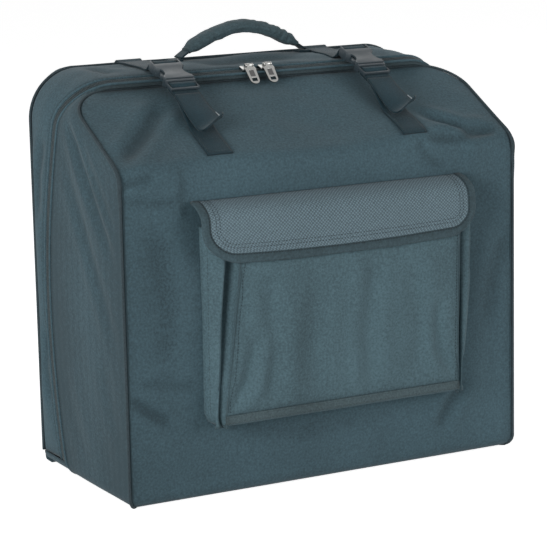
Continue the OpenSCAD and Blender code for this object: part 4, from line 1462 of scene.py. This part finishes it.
# %% [markdown]
# A tape covers the seam under the panel, with a row of thread along each edge, and
# more thread runs beside the bellows' seams. The mouth closes with touch tape, hooks on
# the flap and loops on the panel, which are two thin patches that meet.

# %% Pocket trim
foot_tape_line = [Vector((x * MM, PANEL_Y - 0.9 * MM, 90 * MM)) for x in range(-140, 152, 5)]
foot_tape = swept("pocket_foot_tape", "main_shell", "tape_fabric", foot_tape_line, (0, -1, 0.1), 70,
                  oval(9 * MM, 1.1 * MM, 0.5), around=10, slot_name="shell_fabric")
for number, z in enumerate((87.3, 92.7)):
    line = [Vector((x * MM, PANEL_Y - 2 * MM, z * MM)) for x in range(-139, 151, 4)]
    stitches(f"foot_tape_stitches_{number}", "main_shell", line, foot_tape, width=0.5)
for side, piece in ((LEFT, left_bellows), (RIGHT, right_bellows)):
    line = [Vector((seam_x(side, z * MM) - side * 3 * MM, FRONT_Y - 13 * MM, z * MM))
            for z in range(92, 292, 3)]
    stitches(f"bellows_stitches_{WORDS[side]}", "main_shell", line, piece, width=0.5)
    line = [Vector((panel_edge(side, (z - 95) / 200) - side * 4 * MM, PANEL_Y - 6 * MM, z * MM))
            for z in range(97, 262, 3)]
    stitches(f"panel_stitches_{WORDS[side]}", "main_shell", line, pocket_cloth, width=0.5,
             material="thread_dark")
PATCH_CELLS = (30, 8)


def patch(name, body, node, facing):
    """A thin patch of touch tape with soft corners, over a CAD patch's face."""
    low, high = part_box(node)
    middle = (low + high) / 2
    half = (high - low) / 2

    def place(i, j):
        across, rise = 2 * i / PATCH_CELLS[0] - 1, 2 * j / PATCH_CELLS[1] - 1
        pull = 1 - 0.04 * abs(rise) ** 6
        return Vector((middle.x - half.x * across * pull * facing, middle.y, middle.z + half.z * rise))
    piece = sheet(name, body, "touch_tape", *PATCH_CELLS, place)
    thicken(piece, 2 * half.y)
    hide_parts(node)
    return piece


patch("loop_patch", "main_shell", "pocket_loop_patch", -1)
patch("hook_patch", "pocket_flap", "flap_hook_patch", 1)
print("pocket trim done")

# %% [markdown]
# The flap is cut from ballistic nylon, a coarser and paler weave. It leaves its seam
# nearly level, bends over the pocket's mouth and hangs with a slight wave. Its outline
# is worked out on the flat cloth first: across it by x, and up it by the length from
# its lower edge. A second rule lays that flat shape along the bend.

# %% Flap shape
flap_low, flap_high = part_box("flap_binding")
FLAP_T = 2.2 * MM
FLAP_FACE = flap_low.y + 0.9 * MM
BEND_SIDE = ((FLAP_FACE / MM, flap_low.z / MM), (FLAP_FACE / MM, 272), (FLAP_FACE / MM + 0.1, 292),
             (-149.3, 303.5), (-146, 310.6), (-140, 315.4), (-131, 319.2), (-120, 321.4))
bend = smooth_line([Vector(p) * MM for p in BEND_SIDE], per=6)
bend_track = Track([Vector((0, p.x, p.y)) for p in bend])
FLAP_L = bend_track.length
CORNER_LEFT, CORNER_RIGHT = 38 * MM, 29 * MM
FLAP_CELLS = (110, 44)
BORDER_TURNS = 12
FLAP_WAVES = (((60, 50, 80), 1.7), ((30, 30, 36), 0.5))


def flap_point(x, up_by, lift=0.0):
    """A place on the flap: x across, up_by from the lower edge along the cloth, lift off its face."""
    low_rise = 5.5 * MM * (x / (165 * MM)) ** 2 * (1 - smooth_step(0, 60 * MM, up_by))
    share = (up_by + low_rise) / FLAP_L
    point = bend_track.at(share)
    if up_by < 0:
        point = point + Vector((0, 0, up_by))
    ahead = bend_track.heading(max(share, 0.01))
    out = Vector((0, -ahead.z, ahead.y))
    hang = smooth_step(0, 0.35, 1 - share)
    droop = 2.6 * MM * math.exp(-((x + 158 * MM) / (16 * MM)) ** 2)
    waves = sum(ripple(Vector((x, 0, up_by)), *wave, 2.2 + k) for k, wave in enumerate(FLAP_WAVES))
    return Vector((x, point.y, point.z)) + out * (lift + hang * (waves - droop))


def flap_border(inwards):
    """The flap's outline on the flat cloth, from the top left down, along, and up again."""
    left, far, points = flap_low.x + inwards, flap_high.x - inwards, []
    for k in range(14):
        points.append((left, FLAP_L - (FLAP_L - CORNER_LEFT) * k / 13))
    for k in range(1, BORDER_TURNS + 1):
        turn = math.pi / 2 * k / BORDER_TURNS
        r = CORNER_LEFT - inwards
        points.append((left + r - r * math.cos(turn), CORNER_LEFT - r * math.sin(turn)))
    start, end = left + CORNER_LEFT - inwards, far - CORNER_RIGHT + inwards
    for k in range(1, 60):
        points.append((start + (end - start) * k / 60, inwards))
    for k in range(BORDER_TURNS + 1):
        turn = math.pi / 2 * k / BORDER_TURNS
        r = CORNER_RIGHT - inwards
        points.append((far - r + r * math.sin(turn), CORNER_RIGHT - r * math.cos(turn)))
    for k in range(1, 15):
        points.append((far, CORNER_RIGHT + (FLAP_L - CORNER_RIGHT) * k / 14))
    return points


def flap_reach(side, up_by):
    """How far the flap reaches to a side at a height on the cloth."""
    corner = CORNER_LEFT if side == LEFT else CORNER_RIGHT
    lift = max(0, corner - up_by)
    cut = corner - math.sqrt(max(0, corner * corner - lift * lift))
    return flap_low.x + cut if side == LEFT else flap_high.x - cut


def flap_place(i, j):
    share = j / FLAP_CELLS[1]
    up_by = FLAP_L * (1 - math.cos(math.pi / 2 * share)) if share < 1 else FLAP_L
    left, far = flap_reach(LEFT, up_by), flap_reach(RIGHT, up_by)
    return flap_point(left + (far - left) * i / FLAP_CELLS[0], up_by)


print("flap:", round(FLAP_L / MM), "mm from seam to edge")

# %% [markdown]
# The flap's edge is bound with a folded tape. It uses the same two rules as the cloth,
# with a list of steps inwards and off the face, so it wraps the edge exactly. Thread
# runs along the tape and in two more rows inside it.

# %% Flap cloth and binding
flap_cloth = sheet("flap_cloth", "pocket_flap", "ballistic_fabric", *FLAP_CELLS, flap_place)
thicken(flap_cloth, FLAP_T)
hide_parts("flap_panel")

WRAP = [(inwards * MM, lift * MM) for inwards, lift in (
    (9, 0.35), (6, 0.75), (2, 0.8), (0, 0.55), (-0.8, -0.3), (-0.9, -1.6), (0, -2.6), (2, -2.9), (6, -2.9),
    (9, -2.5))]
FLAP_SEAMS = (7.6 * MM, 15 * MM, 19 * MM)
borders = [flap_border(inwards) for inwards, lift in WRAP]


def binding_place(i, j):
    x, up_by = borders[j][i]
    return flap_point(x, up_by, WRAP[j][1])


flap_tape = sheet("flap_binding_tape", "pocket_flap", "binding_fabric", len(borders[0]) - 1, len(WRAP) - 1,
                  binding_place, flip=True, slot_name="shell_fabric")
thicken(flap_tape, 0.3 * MM, even=False)
Track([flap_point(*p) for p in borders[0]]).length
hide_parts("flap_binding")
for number, inwards in enumerate(FLAP_SEAMS):
    line = [flap_point(x, up_by, 1 * MM) for x, up_by in flap_border(inwards)]
    stitches(f"flap_stitches_{number}", "pocket_flap", line, flap_tape if number == 0 else flap_cloth,
             width=0.6, material="thread_dark")
print("binding:", round(Track([flap_point(*p) for p in borders[0]]).length / MM), "mm long")

# %% [markdown]
# Nylon webbing is stiff across and bends easily along, so a strap is a line in the side
# view with a width. Its line is given and then laid on the bulging pads, by looking
# straight down at them: where the strap would sink, it is lifted. A few rounds of
# smoothing take out the corners that this leaves.

# %% Laying webbing
STRAP_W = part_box("strap_lower_left")[1].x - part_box("strap_lower_left")[0].x
STRAP_X = (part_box("strap_lower_right")[1].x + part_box("strap_lower_right")[0].x) / 2
STRAP_T = 1.7 * MM
STRAP_CELLS = 12
PROBE_ASIDE = (-12 * MM, 0, 12 * MM)
PROBE_REACH = 14 * MM
SMOOTH_ROUNDS = 3


def laid(line, facing, pads, x):
    """Lifts the points of a line that would lie inside a pad."""
    track, points = Track(line), []
    for n, point in enumerate(line):
        ahead = track.heading(track.total[n] / track.length)
        out = Vector((0, -ahead.z, ahead.y)) * facing
        best = 0.0
        for pad_surface in pads:
            for aside in PROBE_ASIDE:
                start = Vector((x + aside, point.y, point.z)) + out * PROBE_REACH
                spot = pad_surface.ray_cast(start, -out, 2 * PROBE_REACH)[0]
                if spot is not None:
                    best = max(best, (spot - point).dot(out) + STRAP_T / 2)
        points.append(point + out * best)
    return points


def webbing(name, body, side, shape, node, facing=1, pads=(), twist=0.0, sway=0.0):
    """A strap along a line in the side view, with its outer face on the side that facing picks."""
    x = side * STRAP_X
    line = laid([Vector((x, p.x, p.y)) for p in smooth_line([Vector(p) * MM for p in shape], per=7)],
                facing, pads, x)
    for _ in range(SMOOTH_ROUNDS):
        line = [line[0]] + [(a + 2 * b + c) / 4 for a, b, c in zip(line, line[1:], line[2:])] + [line[-1]]
    track = Track(line)
    steps = max(14, round(track.length / (2.2 * MM)))

    def place(i, j):
        share = i / steps
        ahead = track.heading(share)
        out = Vector((0, -ahead.z, ahead.y)) * facing
        turn = twist * share * share
        across = (0.5 - j / STRAP_CELLS) * STRAP_W * facing
        return (track.at(share) + Vector((sway * share * share, 0, 0))
                + out * (STRAP_T / 2 + across * math.sin(turn)) + Vector((across * math.cos(turn), 0, 0)))
    piece = sheet(name, body, "webbing", steps, STRAP_CELLS, place)
    thicken(piece, STRAP_T)
    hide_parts(node)
    return piece, track


front_pads = [surface_of(front_pad)]
lid_pads = [surface_of(lid_band_pad), surface_of(lid_back_pad)]
print("webbing:", round(STRAP_W / MM), "mm wide")

# %% [markdown]
# The lower strap is sewn on the slope and carries the clip's frame on a bight, a loop
# through the frame. Its loose tail comes back over it and curls up at the cut end. The
# upper strap runs over the lid and down its back. A point of a strap is given where it
# is easiest to read off: in the leaning clip, along the slope, or on the top.

# %% Straps
CLIP_AT, CLIP_TURN = (-13, 433.5), math.radians(22)
SLOPE_AT, SLOPE_UP = (FRONT_Y / MM, FOLD_Z / MM), (0.8836, 0.4682)


def in_clip(y, z):
    """A place given in a clip's own frame, which leans back by 22 degrees."""
    c, s = math.cos(CLIP_TURN), math.sin(CLIP_TURN)
    return (CLIP_AT[0] + y * c - z * s, CLIP_AT[1] + y * s + z * c)


def on_slope(along, lift):
    """A place along the slope from the fold, and off its face."""
    return (SLOPE_AT[0] + along * SLOPE_UP[0] - lift * SLOPE_UP[1],
            SLOPE_AT[1] + along * SLOPE_UP[1] + lift * SLOPE_UP[0])


def on_top(y, lift):
    """A place on the top, which rises a little to the back."""
    return (y, 438.5 + (y - 25.5) * 4.5 / 92.5 + lift)


LOWER = [on_slope(14, 0.9), on_slope(26, 0.9), on_slope(40, 1.2), on_slope(60, 3.5), in_clip(-34, -7.6),
         in_clip(-22.3, -5.6)]
BIGHT = [in_clip(*p) for p in ((-22.3, -5.6), (-14, -5.6), (-6.3, -5.6), (-5.4, -4.6), (-5.4, 1.6),
                               (-6.4, 2.6), (-11, 2.6), (-12, 1.5), (-12.5, -1.6), (-14, -2.8),
                               (-22.3, -3))]
TAIL = [in_clip(-22.3, -3), (-35, 421), (-45, 414.6), (-57, 406.9), (-68, 400), (-77, 395.6), (-83.5, 395.8),
        (-88.5, 399.4)]
UPPER = ([in_clip(*p) for p in ((36.2, -2.6), (36.2, 1.5), (37.5, 2.9), (41.4, 2.9), (44, 1.5))]
         + [on_top(y, 0.9) for y in (42, 60, 80, 98, 110)]
         + [(116.6, 446.3), (119.6, 443), (120.2, 436), (119.6, 420), (119.2, 385)])
straps = {}
for side, word in WORDS.items():
    straps["lower", side] = webbing(f"lower_strap_{word}", "main_shell", side, LOWER, f"strap_lower_{word}",
                                    pads=front_pads)
    straps["bight", side] = webbing(f"bight_{word}", f"clip_{word}", side, BIGHT, f"strap_bight_{word}",
                                    facing=-1)
    straps["tail", side] = webbing(f"tail_{word}", f"clip_{word}", side, TAIL, f"strap_tail_{word}",
                                   facing=-1, twist=math.radians(34), sway=4 * MM)
    straps["upper", side] = webbing(f"upper_strap_{word}", "lid", side, UPPER, f"strap_upper_{word}",
                                    pads=lid_pads)
print("straps:", [round(track.length / MM) for piece, track in straps.values()])

# %% [markdown]
# A box of stitches holds each strap's sewn end: two rows along its edges and two across
# it. The tail's end is cut hot, which leaves a hard edge of melted nylon. A thin pale bead
# lies across the end.

# %% Strap stitches and cut ends
SEWN_REACH = 0.42
SEWN_LIFT = 1.2 * MM


def across_strap(track, share):
    """Points across a strap at a share of its length."""
    ahead = track.heading(share)
    out = Vector((0, -ahead.z, ahead.y))
    return [track.at(share) + out * SEWN_LIFT + Vector((STRAP_W * SEWN_REACH * k / 8, 0, 0))
            for k in range(-8, 9)]


for side, word in WORDS.items():
    for part, body, shares in (("lower", "main_shell", (0.05, 0.3)), ("upper", "lid", (0.80, 0.97))):
        piece, track = straps[part, side]
        for number, share in enumerate(shares):
            stitches(f"{part}_cross_{word}_{number}", body, across_strap(track, share), piece)
        for number, aside in enumerate((-1, 1)):
            line = []
            for k in range(12):
                share = shares[0] + (shares[1] - shares[0]) * k / 11
                ahead = track.heading(share)
                line.append(track.at(share) + Vector((aside * SEWN_REACH * STRAP_W, -ahead.z * MM,
                                                      ahead.y * MM)))
            stitches(f"{part}_side_{word}_{number}", body, line, piece)
    piece, track = straps["tail", side]
    end = [vertex.co.copy() for vertex in piece.data.vertices[-(STRAP_CELLS + 1):]]
    ahead = track.heading(1.0)
    out = Vector((0, ahead.z, -ahead.y))
    end_line = [p - out * STRAP_T / 2 + ahead * 0.1 * MM for p in end]
    swept(f"tail_end_{word}", f"clip_{word}", "cut_nylon", end_line, out, 20, oval(1.3 * MM, 2.3 * MM),
          around=8, slot_name="webbing")
print("strap ends sewn")

# %% [markdown]
# The clips, sliders and pulls are moulded or cast, so their shape is the CAD model's.
# A merged copy of each node gets its sharp edges rounded, by a third of a millimetre
# on the clips and less on the metal, because a mould never leaves a true corner and
# the rounding is what catches the light. The sunken face of a pull is darker and rough.

# %% Clips and zip metal
CLIP_EDGE, SLIDER_EDGE, PULL_EDGE = 0.35 * MM, 0.25 * MM, 0.18 * MM
SHARP = math.radians(32)


def rounded_copy(name, node, material, width, slot_name=None):
    """A copy of a CAD node with merged corners and rounded edges."""
    source = frame["nodes"][node]
    bm = bmesh.new()
    bm.from_mesh(source.data)
    bmesh.ops.remove_doubles(bm, verts=bm.verts, dist=0.01 * MM)
    bmesh.ops.dissolve_limit(bm, angle_limit=math.radians(1), verts=bm.verts, edges=bm.edges)
    sharp = [e for e in bm.edges if e.is_manifold and e.calc_face_angle(0) > SHARP]
    bmesh.ops.bevel(bm, geom=sharp, offset=width, segments=2, profile=0.5, affect="EDGES", clamp_overlap=True)
    bmesh.ops.remove_doubles(bm, verts=bm.verts, dist=0.004 * MM)
    bmesh.ops.recalc_face_normals(bm, faces=bm.faces)
    piece = to_object(bm, name, source["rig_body"], material, slot_name)
    piece.data.set_sharp_from_angle(angle=math.radians(33))
    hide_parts(node)
    return piece


for word in WORDS.values():
    for part in ("clip_socket", "clip_frame", "clip_prongs"):
        rounded_copy(f"{part}_moulded_{word}", f"{part}_{word}", "clip_plastic", CLIP_EDGE)
    rounded_copy(f"zip_slider_cast_{word}", f"zip_slider_{word}", "zip_metal", SLIDER_EDGE)
    pull = rounded_copy(f"zip_pull_cast_{word}", f"zip_pull_{word}", "zip_metal", PULL_EDGE)
    pull.data.materials.append(finish["zip_dark"])
    biggest = max(pull.data.polygons, key=lambda face: face.area)
    out = biggest.normal * (1 if biggest.normal.z > 0 else -1)
    level_faces = [face for face in pull.data.polygons if face.normal.dot(out) > 0.95]
    top = max(level_faces, key=lambda face: face.area).center.dot(out)
    for face in level_faces:
        if 0.2 * MM < top - face.center.dot(out) < 1.0 * MM:
            face.material_index = 1
            print("sunken face", word, round(face.area * 1e6), "mm2")
board = frame["nodes"]["base_board"]
board.data.materials.clear()
board.data.materials.append(finish["board"])
print("clips and zip metal done")

# %% [markdown]
# The handle is a strip of webbing inside a padded sleeve of the cover's cloth. The
# sleeve is lapped and sewn along its front, and it wrinkles where it bends. Both follow
# one arch, given here in millimetres.

# %% Handle grip
HANDLE_X, HANDLE_HALF = 17, 80
HANDLE_LOW, HANDLE_RISE = 445.8, 31
HANDLE_Y = 104
ARCH_POWER = 1.8
ARCH_STEPS = 40
GRIP_END = 0.87
GRIP_OVAL = 0.85


def arch(share, aside=0.0, lift=0.0):
    """A place on the handle's arch, at a share from -1 to 1."""
    x = HANDLE_X + HANDLE_HALF * share
    z = HANDLE_LOW + HANDLE_RISE * (1 - abs(share) ** ARCH_POWER)
    slope = -HANDLE_RISE * ARCH_POWER * abs(share) ** 0.8 * math.copysign(1, share) / HANDLE_HALF
    out = Vector((-slope, 0, 1)).normalized() * lift
    return Vector((x, HANDLE_Y + aside, z)) * MM + out * MM


def grip_section(share, turn):
    """A rounded section that is lower and narrower at the grip's two ends."""
    open_by = smooth_step(0, 0.08, min(share, 1 - share))
    c, s = math.cos(turn), math.sin(turn)
    wide, high = 20 + 4 * open_by, 7 + 7 * open_by
    return (wide / 2 * MM * math.copysign(abs(c) ** GRIP_OVAL, c),
            high / 2 * MM * math.copysign(abs(s) ** GRIP_OVAL, s))


def wrinkle(share):
    """The line of one wrinkle over the grip, in millimetres."""
    return [tuple(arch(share, aside, lift) / MM) for aside, lift in ((-12, -5), (-11, 1), (-6, 6), (2, 7.5))]


grip_shares = [GRIP_END * k / ARCH_STEPS for k in range(-ARCH_STEPS, ARCH_STEPS + 1)]
grip_line = [arch(share) for share in grip_shares]
grip_outs = [arch(share, 0, 1) - arch(share) for share in grip_shares]
lap = [tuple(arch(share, -9.6, -1.5) / MM) for share in (-0.78, -0.5, -0.2, 0.1, 0.4, 0.78)]
GRIP_FOLDS = [(lap, 1.5, 1.6)]
for share, depth in ((-0.66, 0.7), (-0.46, 0.4), (0.24, 0.3), (0.42, 0.5), (0.6, 0.7), (0.7, 0.6)):
    GRIP_FOLDS.append((wrinkle(share), depth, 2.4))
grip_relief = puffed(0.6, GRIP_FOLDS, (((14, 10, 12), 0.9), ((6, 6, 6), 0.35)), tuck=0.0, floor_safe=False)
grip_pad = swept("grip_pad", "carry_handle", "grip", grip_line, grip_outs, 150, grip_section, around=36,
                 relief=grip_relief)
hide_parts("handle_grip")
stitch_line = [arch(0.8 * k / 30, -11.5, 1.2) for k in range(-30, 31)]
stitches("grip_stitches", "carry_handle", stitch_line, grip_pad, width=0.5)
print("handle:", round(Track(grip_line).length / MM), "mm of grip")

# %% [markdown]
# The grip narrows towards its feet, where the bare webbing comes out, bends flat and is
# sewn to the lid under two tabs. The webbing follows the lid at its feet and the handle
# above them.

# %% Handle webbing and tabs
STRIP_W = 19 * MM
STRIP_T = 1.6 * MM
STRIP_CELLS = (80, 8)
TAB_L = 14.5 * MM
TAB_T = 2.4 * MM
TAB_CELLS = 10


def strip_at(i, j):
    share = -1 + 2 * i / STRIP_CELLS[0]
    return arch(share, (j / STRIP_CELLS[1] - 0.5) * STRIP_W / MM, 0.8)


whole_arch = Track([arch(k / ARCH_STEPS) for k in range(-ARCH_STEPS, ARCH_STEPS + 1)])
handle_strip = sheet("handle_strip", None, "webbing", *STRIP_CELLS, strip_at)
thicken(handle_strip, STRIP_T)
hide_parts("handle_webbing")
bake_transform(handle_strip)
low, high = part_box("handle_tabs")
TABS = ((low.x, low.x + TAB_L), (high.x - TAB_L, high.x))
for number, (near, far) in enumerate(TABS):
    def tab_place(i, j):
        x, y = near + (far - near) * i / TAB_CELLS, low.y + (high.y - low.y) * j / TAB_CELLS
        dip = 1.4 * MM * max(0, abs(2 * i / TAB_CELLS - 1) - 0.7)
        return Vector((x, y, high.z + 0.3 * MM - dip))
    tab = sheet(f"handle_tab_{number}", "lid", "webbing", TAB_CELLS, TAB_CELLS, tab_place)
    thicken(tab, TAB_T)
    for row, share in enumerate((0.15, 0.85)):
        x = near + (far - near) * share
        line = [Vector((x, low.y + (high.y - low.y) * k / 8, high.z + MM)) for k in range(9)]
        stitches(f"tab_stitches_{number}_{row}", "lid", line, tab)
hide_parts("handle_tabs")
